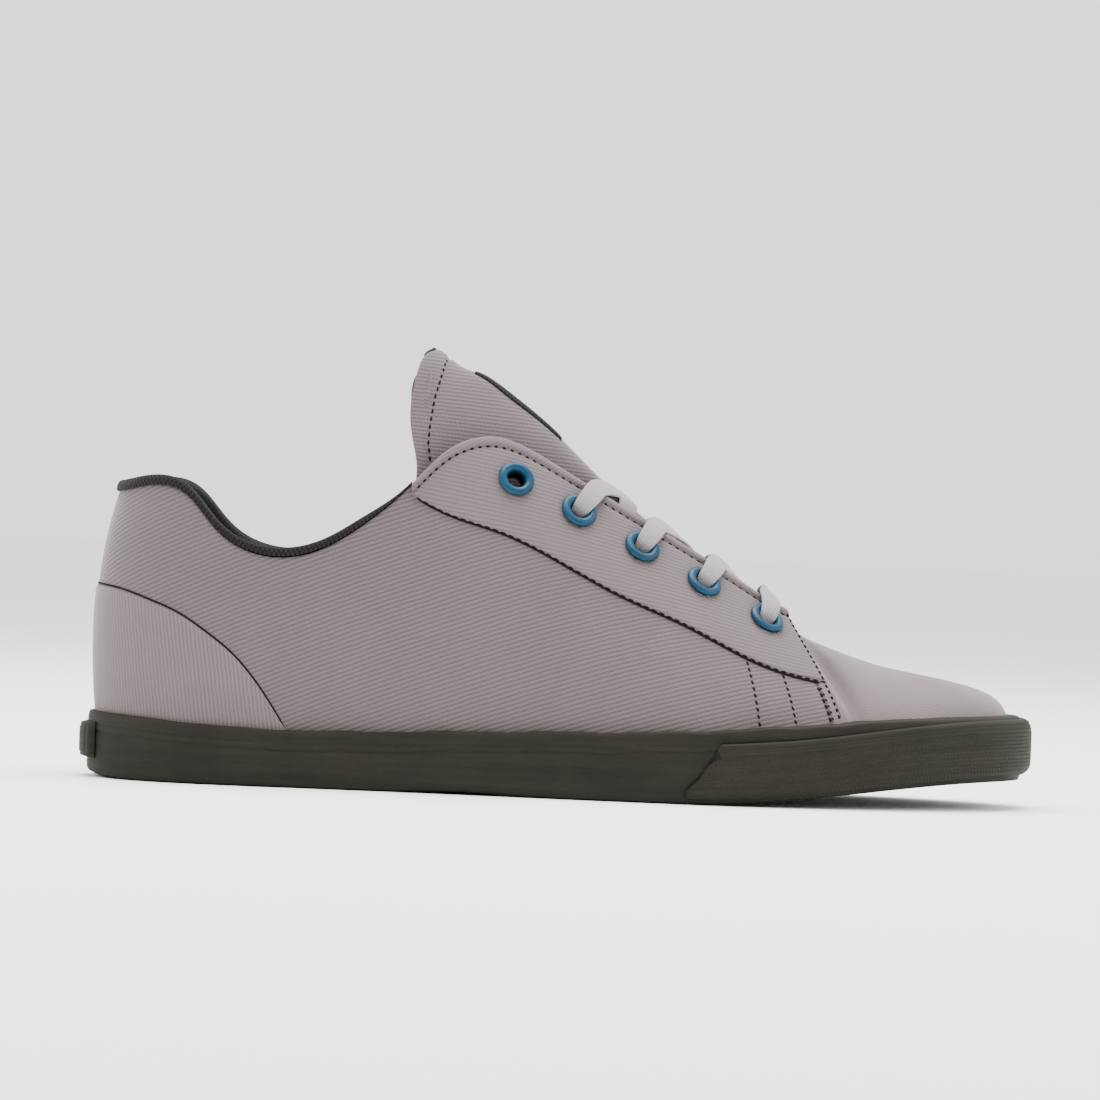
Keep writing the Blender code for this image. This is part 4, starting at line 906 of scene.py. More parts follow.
# Eyestay: a folded bead along the throat's edge, half an ellipse; a sewn groove behind it, a bell; and
# a lower and a front edge rounded as quarter circles. Rows draw together where it is narrow
def eyestaySheet(side, outer):
    turn = np.linspace(float(turnOf(collarFront)), edgeTurn, eyestayShape["columns"])
    turn = np.concatenate([turn[:-4], np.linspace(turn[-5], turn[-1], eyestayShape["frontColumns"])[1:]])
    low = eyestayLow(turn, side)[:, None]
    plain = lastCurve(turn[:, None], np.linspace(0, 1, 121)[None] * (1 - low) + low, side)
    length = runLength(plain, 1)[:, -1:]
    squeeze = np.minimum(1, length / 0.011)
    share = np.linspace(0, 1, eyestayShape["middleRows"] + 2)[None, 1:-1]
    middle = topRows[-1] * squeeze + (length - (topRows[-1] + lowRows[0]) * squeeze) * share
    top = np.concatenate([topRows * squeeze, middle, length - lowRows * squeeze], 1)[:, ::-1]
    front = (edgeTurn - turn)[:, None] * turnLength
    height = np.full(top.shape, eyestayShape["lift"])
    if outer:
        width, edge = eyestayShape["foldWidth"], eyestayShape["edge"]
        bead = np.sqrt(np.clip(1 - ((top - 0.5 * width) / (0.54 * width)) ** 2, 0, 1))
        groove = np.exp(-(((top - eyestayShape["stitch"]) / 0.0005) ** 2))
        height += eyestayShape["thick"] * roundedEdge(length - top, edge) * roundedEdge(front, edge)
        height += eyestayShape["fold"] * bead * roundedEdge(front, 0.0015) - eyestayShape["groove"] * groove
        height -= 0.0007 * (1 - np.clip(top / 0.0005, 0, 1)) ** 2
    return skin(turn[:, None], upBelow(turn, top, side), side, height)[0]


for side, word in ((lateral, "lateral"), (medial, "medial")):
    out, under = eyestaySheet(side, True), eyestaySheet(side, False)
    onBead = np.arange(out.shape[1] - 1) >= out.shape[1] - 1 - eyestayShape["beadRows"]
    uv = np.stack([out[..., 0], clothHeight(out)], -1)
    piece = sheetMesh("eyestay" + word.capitalize(), out, under, uv, [twillEyestay, twillFold],
                      outsideEyelets(out, (side,)), front=onBead[None, :], back=0)
    finishPiece(piece, "canvas", "eyestay_" + word)

collarShape = dict(columns=120, padding=0.0060, depth=0.0320, roll=0.0030, sides=68)


# Collar: a closed profile of thirteen handles, smoothed by Catmull and Rom's cubic and carried round
# the collar's edge; its pad thins and its roll falls towards the front, its bead is fatter at the heel
def collarRings():
    def build(turn, side):
        foot = footOf(turn)
        pad = collarShape["padding"] * (1 - 0.8 * smoothstep(0.20, collarFront, foot))
        roll = collarShape["roll"] * (1 - 0.6 * smoothstep(0.27, collarFront, foot))
        fat = 1 - smoothstep(0.01, 0.14, foot)
        whole = np.ones(len(turn))
        low, mid = (upBelow(turn, collarShape["depth"] * share * whole, side) for share in (1, 0.5))
        upwards = unit(skin(turn, whole, side)[0] - skin(turn, 0.97 * whole, side)[0])
        wall = last["wall"]
        inner = -(wall + 0.0004)

        def over(offset, lift):
            return skin(turn, whole, side, offset)[0] + upwards * np.asarray(lift)[..., None]

        def at(up, offset):
            return skin(turn, up, side, offset)[0]

        handles = [
            at(low, inner), at(mid, inner), at((mid + 1) / 2, inner), over(inner, 0.0004),
            over(0.0003 + 0.0004 * fat, 0.0004 - 0.0015 * fat), over(0.0005 + 0.0009 * fat, 0.35 * roll),
            over(0.0007 * fat, 0.85 * roll), over(-0.6 * wall, 1.05 * roll),
            over(-wall - 0.45 * pad, 0.85 * roll), over(-wall - 0.85 * pad, 0.1 * roll),
            at((mid + 1) / 2, -wall - pad), at(mid, -wall - 0.85 * pad), at(low, -wall - 0.0013),
        ]
        return np.stack(handles, 1)

    rings = roundHeel(build, float(turnOf(collarFront)), collarShape["columns"])
    count = rings.shape[1]
    fine = np.linspace(0, count, collarShape["sides"], endpoint=False)
    cell, t = np.floor(fine).astype(int), (fine % 1)[None, :, None]
    p = [rings[:, (cell + k) % count] for k in (-1, 0, 1, 2)]
    square, cube = 2 * p[0] - 5 * p[1] + 4 * p[2] - p[3], 3 * p[1] - p[0] - 3 * p[2] + p[3]
    return 0.5 * (2 * p[1] + (p[2] - p[0]) * t + square * t**2 + cube * t**3)


rings = collarRings()
around = runLength(rings, 1)
collarUv = np.stack([runLength(rings[:, 20])[:, None] * np.ones_like(around), around], -1)
collar = loftMesh("collarLining", rings, collarUv, [collarKnit])
finishPiece(collar, "lining", "collar_lining")
print("shoe: eyestays and collar made")

tongueShape = dict(rows=150, across=61, thickness=0.0065, tuck=0.0040, groove=0.0008, flatTop=0.11,
                   turned=0.0055, puff=0.0005)


# Lines across the tongue, five points each, and its thickness there: tucked under the vamp, then laced
# down between the eyestays, then free
def tongueRows():
    rows, thickness = [], []
    under = -(last["wall"] + tongueShape["tuck"])
    laced = -(last["wall"] + 0.0012 + 0.0016)
    for foot, share in ((0.850, 0.25), (0.832, 0.30)):
        turn = float(turnOf(foot))
        edges = [[skin(turn, up, side, under, False)[0] for up in (0.86, 0.94)] for side in (lateral, medial)]
        centre = skin(turn, 1.0, lateral, under, False)[0] * (1, 0, 1)
        rows.append([*edges[0], centre, *edges[1][::-1]])
        thickness.append(share)
    for foot, along, height, share in tongueLaced:
        turn = float(turnOf(foot))
        low = 0.86 - 0.12 * smoothstep(0.80, 0.70, foot)
        edges = [[skin(turn, up, side, laced, False)[0] for up in (low, 1.0)] for side in (lateral, medial)]
        centre = np.array([along * last["soleLength"], 0, height * last["instepHeight"]])
        rows.append([*edges[0], centre, *edges[1][::-1]])
        thickness.append(share)
    sizes = np.array([last["soleLength"], last["ballWidth"], last["tongueHeight"]])
    flip = np.array([1, -1, 1])
    for row in tongueFree:
        parts = (row[0], 0, row[1]), row[2:5], row[5:8]
        centre, beside, edge = (np.array(part) * sizes for part in parts)
        rows.append([edge * flip, beside * flip, centre, beside, edge])
        thickness.append(row[8])
    return np.array(rows), np.array(thickness)


# Tongue: its lines are splined across and along. Two lines are added beside the middle one, so that
# the free part is flat on top where the label lies; the arch is round where the lace presses it
def tongueSheets():
    rows, share = tongueRows()
    stations = np.arange(len(rows), dtype=float)
    flat = np.interp(stations, [3, 5, 6.4], [0.30, 0.15, tongueShape["flatTop"]])[:, None]
    wide = np.interp(stations, [3, 5, 6, 7], [0.55, 0.76, 0.72, 0.56])[:, None]
    middle = rows[:, 2]
    outer = [rows[:, 1] - middle, rows[:, 3] - middle]
    inner = [middle + part * np.concatenate([flat, wide, flat], 1) for part in outer]
    lines = [rows[:, 0], rows[:, 1], inner[0], middle, inner[1], rows[:, 3], rows[:, 4]]
    down = np.linspace(0, len(rows) - 1, tongueShape["rows"])
    spread = np.sin(np.linspace(-0.5, 0.5, tongueShape["across"]) * math.pi * 0.86) / math.sin(0.43 * math.pi)
    tall = np.array([[naturalSpline(stations, line[:, k], down) for k in range(3)] for line in lines])
    where = np.array([0, 1, 1.45, 2, 2.55, 3, 4.0])
    wanted = (spread + 1) * 2
    grid = [[naturalSpline(where, tall[:, k, row], wanted) for k in range(3)] for row in range(len(down))]
    grid = np.swapaxes(np.array(grid), 1, 2)
    thick = tongueShape["thickness"] * np.interp(down, stations, share)[:, None]
    return grid, normalsOf(grid), thick


tongueGrid, tongueNormal, tongueThick = tongueSheets()
# Distances over the tongue: across it from one side, and from its nearest side or top edge
tongueLine = runLength(tongueGrid, 1)
nearerSide = np.minimum(tongueLine, tongueLine[:, -1:] - tongueLine)
edgeDistance = np.minimum(nearerSide, runLength(tongueGrid[::-1])[::-1])

# The line on which the edge's roll is sewn down, seen from the side: places ahead of the heel for
# heights above the floor, in millimetres
tongueSeamHeights = (90.0, 97.8, 101.9, 107.1, 113.4, 121.3, 127.6, 133.3, 134.8)
tongueSeamPlaces = (107.5, 106.1, 104.7, 103.9, 104.3, 105.3, 106.9, 108.3, 109.6)
fromSeam = tongueGrid[..., 0] - np.interp(tongueGrid[..., 2], np.divide(tongueSeamHeights, 1000),
                                          np.divide(tongueSeamPlaces, 1000))

# The tongue is a pad: half its thickness on each side of its middle, closing to nothing at the edge as
# an ellipse, puffed a little between edge and seam and pressed in along the seam
sewnUp = smoothstep(0.082, 0.095, tongueGrid[..., 2])
sewn = np.exp(-((fromSeam / 0.0011) ** 2)) * sewnUp
puff = tongueShape["puff"] * np.exp(-((fromSeam / 0.0035) ** 2)) * sewnUp
roundness, closing = roundedEdge(edgeDistance, 0.0030), roundedEdge(edgeDistance, 0.0010)
halfThick = 0.5 * tongueThick
outwards = halfThick * (roundness - 1) + puff - tongueShape["groove"] * sewn
front = tongueGrid + tongueNormal * (outwards * closing - halfThick * (1 - closing))[..., None]
back = tongueGrid - tongueNormal * (halfThick * (1 + roundness))[..., None]
overHeight = tongueGrid[..., 2] + (tongueGrid[:, 30:31, 0] - tongueGrid[..., 0]) * 0.15
tongueUv = np.stack([tongueLine - tongueLine[:, -1:] / 2, overHeight], -1)
lined = (edgeDistance > tongueShape["turned"])[:-1, :-1]
tongue = sheetMesh("tongueCanvas", front, back, tongueUv, [twillTongue, collarKnit], back=lined)
finishPiece(tongue, "canvas", "tongue")


# The tongue's front as a height over the plan, with the way it faces, for what lies on it
def overTongue(along, out):
    def height(where, aside):
        spots = [[np.interp(aside, row[:, 1], row[:, k]) for k in (0, 2)] for row in tongueGrid[::3]]
        spots = np.array(sorted(spots))
        return float(np.interp(where, spots[:, 0], spots[:, 1]))

    near = 0.002
    ahead = (height(along + near, out) - height(along - near, out)) / (2 * near)
    aside = (height(along, out + near) - height(along, out - near)) / (2 * near)
    return np.array([along, out, height(along, out)]), unit(np.array([-ahead, -aside, 1.0]))


labelShape = dict(start=0.398, end=0.492, width=0.0165, lift=0.0001, thick=0.0006, rows=33, columns=21)


# Label: a bare woven tape over the tongue's ridge, its edges thinned by high powers of the distance
def labelSheet():
    tall, across = np.linspace(-1, 1, labelShape["rows"]), np.linspace(-1, 1, labelShape["columns"])
    alongs = np.linspace(labelShape["start"], labelShape["end"], labelShape["rows"]) * last["soleLength"]
    outs = np.linspace(-0.5, 0.5, labelShape["columns"]) * labelShape["width"]
    base, facing = np.moveaxis(np.array([[overTongue(a, o) for o in outs] for a in alongs]), 2, 0)
    edge = 1 - 0.45 * np.maximum(np.abs(tall)[:, None] ** 16, np.abs(across)[None, :] ** 12)
    under = base + facing * labelShape["lift"]
    over = base + facing * (labelShape["lift"] + labelShape["thick"] * edge)[..., None]
    uv = np.stack(np.meshgrid(alongs, outs, indexing="ij"), -1)
    return over, under, uv


labelOver, labelUnder, labelUv = labelSheet()
label = sheetMesh("tongueLabel", labelOver, labelUnder, labelUv, [labelTape])
finishPiece(label, "label", "tongue_label")
print("shoe: tongue made")

eyeletShape = dict(radius=0.0057, hole=0.0028, barrel=0.0034, rise=0.0015, base=0.0009 + 2.5 * last["gap"],
                   sides=48)


# Eyelet: a barrel that flares into a round bead; the profile is turned round the eyelet's axis. The hole's
# wall and the barrel's underside take the near-black thread finish: painted shade in the hole
def eyeletMesh(name, centre, facing):
    base, radius, hole, barrel = (eyeletShape[key] for key in ("base", "radius", "hole", "barrel"))
    middle, half = (radius + hole) / 2 + 0.0001, (radius - hole) / 2
    angle = np.linspace(-0.25, 1.0, 11) * math.pi
    lift = base + eyeletShape["rise"] * (0.35 + 0.75 * np.maximum(np.sin(angle), -0.3))
    bead = np.stack([middle + half * np.cos(angle) * 0.98, lift], -1)
    outside = [(barrel, -last["wall"]), (barrel, base), (radius - 0.0004, base)]
    profile = np.concatenate([outside, bead, [(hole, base + 0.0001), (hole, -last["wall"])]])
    # Painted shade: the last two faces of the profile, down the hole and under the barrel, are near-black
    inside = np.zeros(len(profile), int)
    inside[-2:] = 1
    across = unit(np.cross(facing, [1.0, 0.0, 0.0]))
    beside = np.cross(facing, across)
    angles = np.arange(eyeletShape["sides"]) * 2 * math.pi / eyeletShape["sides"]
    spokes = np.cos(angles)[:, None] * across + np.sin(angles)[:, None] * beside
    rings = centre + profile[None, :, :1] * spokes[:, None] + profile[None, :, 1:] * facing
    return loftMesh(name, rings, None, [blueEnamel, darkThreadAndShade], closed=True, inside=inside)


for side, word in ((lateral, "lateral"), (medial, "medial")):
    for number, (centre, facing) in enumerate(zip(*eyelets[side][1:3]), 1):
        piece = eyeletMesh(f"eyelet{word.capitalize()}{number}", centre, facing)
        finishPiece(piece, "eyelet", f"eyelet_{word}_{number}")

laceShape = dict(width=0.0068, thick=0.0012, room=0.0016, ahead=0.0040, forward=0.40, barForward=0.30,
                 samples=9, sides=20)


# A place on the throat's edge, moved out along the way the surface faces just below it
def edgePoint(turn, side, stand):
    facing = skin(turn, 0.98, side, 0.0, False)[1]
    return skin(turn, 1.0, side, 0.0, False)[0] + facing * stand, facing


# Route of the whole lace as handles of place, facing and width: it comes out of each eyelet, goes over
# the throat's edge, crosses the tongue, goes under the far edge and up through the next eyelet
def laceRoute():
    ring = eyeletShape["base"] + eyeletShape["rise"]
    lay = laceShape["thick"] / 2 + last["gap"]
    handles = []

    def add(point, facing, width):
        handles.append((point, unit(facing), width * laceShape["width"]))

    # Where the lace leaves over the throat's edge: a share of the way to the next eyelet
    def nearEdge(side, k):
        turns = eyelets[side][0]
        step = turns[min(k + 1, 4)] - turns[min(k, 3)]
        share = laceShape["forward"] if k < 4 else laceShape["barForward"]
        return edgePoint(turns[k] + share * step, side, 0.0009 + 3 * last["gap"] + 1.2 * lay)

    # Out of an eyelet: up its axis, over its bead and towards the edge
    def comeOut(side, k):
        _, centre, facing, _ = (values[k] for values in eyelets[side])
        toEdge = nearEdge(side, k)[0] - centre
        toEdge = unit(toEdge - facing * (toEdge @ facing))
        over = ring + 0.1 * laceShape["thick"]
        add(centre - facing * 0.0012, -toEdge, 0.70)
        add(centre + facing * 0.0006 + toEdge * 0.0002, -toEdge, 0.72)
        add(centre + facing * over + toEdge * 0.0014, facing - 0.8 * toEdge, 0.84)
        add(centre + facing * (ring + lay + 0.0002) + toEdge * eyeletShape["radius"], facing, 0.97)

    # Over the edge and the tongue, under the far edge and up behind the next eyelet
    def cross(side, k, above):
        turn, farTurn = eyelets[side][0][k], eyelets[-side][0][k + 1]
        spot = (eyelets[side][1][k][0] + eyelets[side][1][k + 1][0]) / 2 + laceShape["ahead"]
        edge, edgeFacing = nearEdge(side, k)
        under = -(last["wall"] + 0.5 * laceShape["room"] + 0.5 * laceShape["thick"])
        farEdge, farFacing = edgePoint(turn + 1.02 * (farTurn - turn), -side, under)
        middle, facing = overTongue(spot, 0.0)
        aside, asideFacing = overTongue(spot + 0.6 * (farEdge[0] - spot), -side * 0.60 * abs(farEdge[1]))
        add(edge, edgeFacing, 1.0)
        add(middle + facing * (0.3 * lay + 0.8 * above * laceShape["thick"]), facing, 1.0)
        add(aside + asideFacing * (lay + last["gap"]), asideFacing, 1.0)
        add(farEdge, farFacing, 1.0)
        _, centre, outFacing, toEdge = (values[k + 1] for values in eyelets[-side])
        add(centre - outFacing * (last["wall"] + lay + last["gap"] + 0.0006) + toEdge * 0.001, outFacing, 0.8)

    for side, k, above in ((lateral, 1, 1), (medial, 2, 0), (lateral, 3, 1)):
        comeOut(side, k)
        cross(side, k, above)
    comeOut(medial, 4)
    edge, facing = nearEdge(medial, 4)
    add(edge, facing, 1.0)
    other, otherFacing = nearEdge(lateral, 4)
    middle, ridgeFacing = overTongue((edge[0] + other[0]) / 2, 0.0)
    middle = middle + ridgeFacing * lay
    middle[2] = max(middle[2], (edge[2] + other[2]) / 2 + 0.0004)
    add(middle, ridgeFacing, 1.0)
    add(other, otherFacing, 1.0)
    # Into the last eyelet, and back up the other way: the same moves, taken from their far end
    for side, k, above in ((lateral, 4, None), (medial, 3, 0), (lateral, 2, 1), (medial, 1, 0)):
        start = len(handles)
        comeOut(side, k)
        if above is not None:
            cross(side, k, above)
        handles[start:] = handles[start:][::-1]
    return handles


# A flat strap: an ellipse with squared ends, carried along the handles, which a cubic joins whose
# tangents weigh each step by its length; its facing and width run between theirs
def laceMesh():
    handles = laceRoute()
    points, facings, widths = (np.array([h[k] for h in handles]) for k in range(3))
    steps = np.arange(len(points), dtype=float)
    fine = np.linspace(0, len(points) - 1, laceShape["samples"] * (len(points) - 1) + 1)
    cell = np.clip(np.floor(fine).astype(int), 0, len(points) - 2)
    t = (fine - cell)[:, None]
    p0, p1, p2, p3 = (points[np.clip(cell + k, 0, len(points) - 1)] for k in (-1, 0, 1, 2))
    chord = np.linalg.norm(p2 - p1, axis=1, keepdims=True)
    before, after = (np.linalg.norm(d, axis=1, keepdims=True) + 1e-6 for d in (p1 - p0, p3 - p2))
    m1 = ((p1 - p0) / before * chord + (p2 - p1)) * 0.5
    m2 = ((p3 - p2) / after * chord + (p2 - p1)) * 0.5
    path = (2 * t**3 - 3 * t**2 + 1) * p1 + (t**3 - 2 * t**2 + t) * m1
    path = path + (3 * t**2 - 2 * t**3) * p2 + (t**3 - t**2) * m2
    soft = smoothstep(0, 1, t)
    facing = facings[cell] * (1 - soft) + facings[cell + 1] * soft
    tangent = unit(np.gradient(path, axis=0))
    across = unit(np.cross(tangent, facing))
    # Where the strap would turn over from one ring to the next, the rest of it is turned back
    turns = np.einsum("ij,ij->i", across[1:], across[:-1]) < 0
    across[1:] *= np.cumprod(np.where(turns, -1, 1))[:, None]
    normal = np.cross(across, tangent)
    angles = np.arange(laceShape["sides"]) * 2 * math.pi / laceShape["sides"]
    flat = np.sign(np.cos(angles)) * np.abs(np.cos(angles)) ** 0.55 * 0.5
    deep = np.sign(np.sin(angles)) * np.abs(np.sin(angles)) ** 0.8 * 0.5 * laceShape["thick"]
    wide = np.interp(fine, steps, widths)[:, None] * flat
    rings = path[:, None] + across[:, None] * wide[..., None] + normal[:, None] * deep[None, :, None]
    uv = np.stack([runLength(path)[:, None] * np.ones_like(wide), wide], -1)
    return loftMesh("flatLace", rings, uv, [laceCotton])


lace = laceMesh()
finishPiece(lace, "lace", "lace_crossing_1", "lace_crossing_2", "lace_crossing_3", "lace_bar")
print("shoe: eyelets and lace made")

# Turns from one foot to another, evenly
def turnsBetween(first, final, count=240):
    return np.linspace(float(turnOf(first)), float(turnOf(final)), count)


# A row over the eyestay, one distance below the throat's edge
def alongEyestay(first, final, distance, side, stand):
    turn = turnsBetween(first, final)
    return skin(turn, upBelow(turn, distance * np.ones(len(turn)), side), side, stand)


# A row along the eyestay's lower edge, a distance above it
def alongLow(first, final, above, side, stand):
    turn = turnsBetween(first, final)
    low = eyestayLow(turn, side)
    reach = np.linalg.norm(lastCurve(turn, low + 0.02, side) - lastCurve(turn, low, side), axis=1)
    return skin(turn, low + 0.02 * above / reach, side, stand)


# How far up the column over a foot lies a distance above the foxing's top
def upAtFoot(foot, side, above):
    return float(upAt(turnOf(np.array([foot])), foxingTop(foot * last["soleLength"]) + above, side)[0])


# Where the rows stand beside the quarter's front edge, as feet of columns, and how far the others run
seamShape = dict(sideRows=(0.7130, 0.7535, 0.7930, 0.7965), start=0.350, stitchEnd=0.796, seamEnd=0.803,
                 shadeLineEnd=0.804, edgeFoot=0.81, counterEnd=0.2155)
top = eyestayShape["lift"] + eyestayShape["thick"]
eyestayRows, seamRows, frontRows, sideRows, seamShadeLines = [], [], [], [], []
for side in (lateral, medial):
    start, down = seamShape["start"], eyestayShape["stitch"]
    eyestayRows.append(alongEyestay(start, seamShape["stitchEnd"], down, side, top - 0.00045))
    seamRows.append(alongLow(start, seamShape["seamEnd"], 0.0001, side, top - 0.00055))
    # A continuous near-black thread just under the eyestay's lower edge: painted shade under that edge, with
    # the seam's own thread
    seamShadeLines.append(alongLow(start, seamShape["shadeLineEnd"], -0.0003, side, 0.00025))
    frontTurn = edgeTurn - 0.0006 / turnLength
    lowest = float(eyestayLow(np.array([frontTurn]), side)[0])
    overStay = frontTurn - 0.0005 / turnLength
    frontRows.append(skin(overStay, np.linspace(lowest, 0.975, 60), side, top + 0.00005))
    foot = upAt(np.array([edgeTurn]), foxingTop(seamShape["edgeFoot"] * last["soleLength"]) + 0.0004, side)[0]
    frontRows.append(skin(frontTurn, np.linspace(float(foot), lowest - 0.02, 40), side, 0.00050))
    for foot in seamShape["sideRows"]:
        highest = float(eyestayLow(turnOf(np.array([foot])), side)[0]) - 0.015
        stand = 0.00002 if foot < 0.78 else 0.00006
        up = np.linspace(upAtFoot(foot, side, 0.0002), highest, 60)
        sideRows.append(skin(float(turnOf(foot)), up, side, stand))
    up = np.linspace(upAtFoot(seamShape["edgeFoot"], side, 0.0), 0.985, 60)
    # A continuous near-black thread in the step ahead of the quarter's front edge: painted shade in that
    # crevice
    seamShadeLines.append(skin(edgeTurn + 0.0008, up, side, -last["seamStep"] + 0.0001))
for name, rows, *shape in (
    ("eyestayStitches", eyestayRows, 0.0026, 0.0013, 0.00046),
    ("eyestaySeamStitches", seamRows, 0.0026, 0.0018, 0.00030),
    ("frontEdgeStitches", frontRows, 0.0024, 0.0014, 0.00038),
    ("sideStitches", sideRows, 0.0023, 0.0015, 0.00036, 0.25),
):
    finishPiece(stitchMesh(name, rows, darkThreadAndShade, *shape), "label")
finishPiece(threadMesh("seamShadeLines", seamShadeLines, darkThreadAndShade, 0.00033), "label")


# One thin near-black thread runs round the heel, just above the counter's edge: painted shade, the shadow
# along the counter's seam
def counterShadeLine():
    turn = turnsBetween(0.0, seamShape["counterEnd"], 200)
    height = counterHeight(turn) + 0.0002
    halves = [skin(turn, upAt(turn, height, side), side, 0.00008) for side in (lateral, medial)]
    return tuple(np.concatenate([halves[0][k][:0:-1], halves[1][k]]) for k in range(2))


finishPiece(threadMesh("counterSeamShade", [counterShadeLine()], darkThreadAndShade, 0.00030), "label")


# Stitches on the line where the tongue's roll is sewn down: in each row, where that line is crossed
def tongueSeam():
    paths = []
    half = tongueShape["across"] // 2
    for side in (lateral, medial):
        columns = np.arange(half + 1) if side < 0 else np.arange(2 * half, half - 1, -1)
        found = []
        for row in np.flatnonzero((tongueGrid[:, half, 2] > 0.100) & (fromSeam[:, half] > 0)):
            line = fromSeam[row, columns]
            if line[0] >= 0 or tongueGrid[row, 0, 2] < 0.085:
                continue
            cell = int(np.flatnonzero(line > 0)[0])
            share = line[cell] / (line[cell] - line[cell - 1])
            here, before = columns[cell], columns[cell - 1]
            found.append([g[row, here] * (1 - share) + g[row, before] * share for g in (front, tongueNormal)])
        paths.append(tuple(np.array([f[k] for f in found]) for k in range(2)))
    return paths


finishPiece(stitchMesh("tongueStitches", tongueSeam(), darkThreadAndShade, 0.0025, 0.0017, 0.00036), "label")


# A thin dark binding over the tongue's top edge, from one corner to the other
def tongueBinding():
    upward = unit(tongueGrid[-1] - tongueGrid[-4])
    return (front[-1] + back[-1]) / 2 + upward * 0.0003, upward


finishPiece(threadMesh("tongueBinding", [tongueBinding()], labelTape, 0.00085), "label")
print("shoe: seams sewn")

soleShape = dict(columns=170, edge=0.0008, shoulder=0.0029, toeShoulder=0.0050, reach=0.0009, toeReach=0.0045,
                 foot=0.0022, toeFoot=0.0058, wave=0.00022)
# The foxing's sunk lines: how far under its top, how deep and half how wide
foxingLines = (0.0040, 0.00020, 0.0005), (0.0062, 0.00036, 0.0006), (0.0108, 0.00016, 0.0005)


# How far the upper's face stands out under the rubber: a step more on the counter, one less on the vamp
def upperStep(turn):
    counterPart = 1 - smoothstep(0.225, 0.25, footOf(turn))
    vampPart = smoothstep(quarterEdge + 0.02, quarterEdge + 0.05, footOf(turn))
    return last["seamStep"] * (counterPart - vampPart)


# A closed ring of the outline: lateral side, round the toe and back along the medial side
def aroundShoe(build, count):
    turn = np.linspace(0, 1, count)
    return np.concatenate([build(turn, lateral), build(turn[1:-1], medial)[::-1]])


# How far the foxing's face stands back at a height: a quarter ellipse at its foot and one at its
# shoulder, both larger round the toe
def foxingStandBack(turn, low, high, height):
    toeward = smoothstep(0.82, 0.985, footOf(turn))
    foot = soleShape["foot"] + (soleShape["toeFoot"] - soleShape["foot"]) * toeward
    shoulder = soleShape["shoulder"] + (soleShape["toeShoulder"] - soleShape["shoulder"]) * toeward
    reach = soleShape["reach"] + (soleShape["toeReach"] - soleShape["reach"]) * toeward
    down = np.clip(1 - (height - low) / foot, 0, 1)
    up = np.clip(1 - (high - height) / shoulder, 0, 1)
    return 0.95 * foot * (1 - np.sqrt(1 - down**2)) + reach * (1 - np.sqrt(1 - up**2))


# Foxing: a wall with a rounded shoulder and foot and three sunk lines, carried round the outline;
# its top edge wavers a little, as rubber pressed on by hand does
def foxingRings():
    def build(turn, side):
        plan, outward = outline(turn, side)
        low = rise(plan[:, 0])
        bottom, ledge = low + soleShape["edge"], low + last["outsole"] + last["gap"]
        waver = np.sin(plan[:, 0] * 190 + side) + 0.6 * np.sin(plan[:, 0] * 430 + 2 * side)
        high = foxingTop(plan[:, 0]) + soleShape["wave"] * waver * np.sin(math.pi * turn) ** 2

        def outer(depth, height):
            flat = plan - outward * (depth * np.ones(len(plan)))[:, None]
            return np.stack([flat[:, 0], flat[:, 1], height * np.ones(len(plan))], -1)

        def inner(height):
            point = skin(turn, upAt(turn, height, side), side, upperStep(turn) + 0.0001)[0]
            return np.stack([point[:, 0], point[:, 1], height], -1)

        rim = inner(high)
        thick = np.einsum("ij,ij->i", plan - rim[:, :2], outward)
        edge = foxingStandBack(turn, low, high, high)
        points = [outer(last["foxingSide"], bottom), outer(last["foxingSide"], ledge), inner(ledge)]
        points += [inner((ledge + high) / 2), rim]
        for share in (0.2, 0.5, 0.8):
            points.append(outer(thick + share * (edge - thick), high - 0.00005 * share))

        def face(height, sunk=0.0):
            points.append(outer(foxingStandBack(turn, low, high, height) + sunk, height))

        for down in (0.00015, 0.0004, 0.0008, 0.0014, 0.0021, 0.0029):
            face(high - down)
        for down, depth, half in foxingLines:
            for share, sunk in ((1.0, 0.0), (0.4, 0.6), (0.0, 1.0), (-0.4, 0.6), (-1.0, 0.0)):
                face(high - down + share * half, sunk * depth)
        for above in (0.0036, 0.0027, 0.0019, 0.0012, 0.0007, 0.0004):
            face(low + above)
        return np.stack(points, 1)

    return aroundShoe(build, soleShape["columns"])


# Map of a strip: the length along one line of its profile, and the height
def ringUv(rings, row):
    return np.stack([runLength(rings[:, row])[:, None] * np.ones((1, rings.shape[1])), rings[..., 2]], -1)


rings = foxingRings()
foxing = loftMesh("foxingStrip", rings, ringUv(rings, 12), [foxingRubber], closed=True)
finishPiece(foxing, "foxing_rubber", "foxing")

bumperShape = dict(columns=180, start=(0.633, 0.668), thick=0.0013, drop=0.0040, toeDrop=0.0009, line=0.00022)
# The bumper's rounded lower edge: the share of its thickness at each height above its foot
bumperFoot = (1.0, 0.0030), (0.97, 0.0022), (0.87, 0.0014), (0.68, 0.0007), (0.40, 0.0002), (0.2, 0.0)


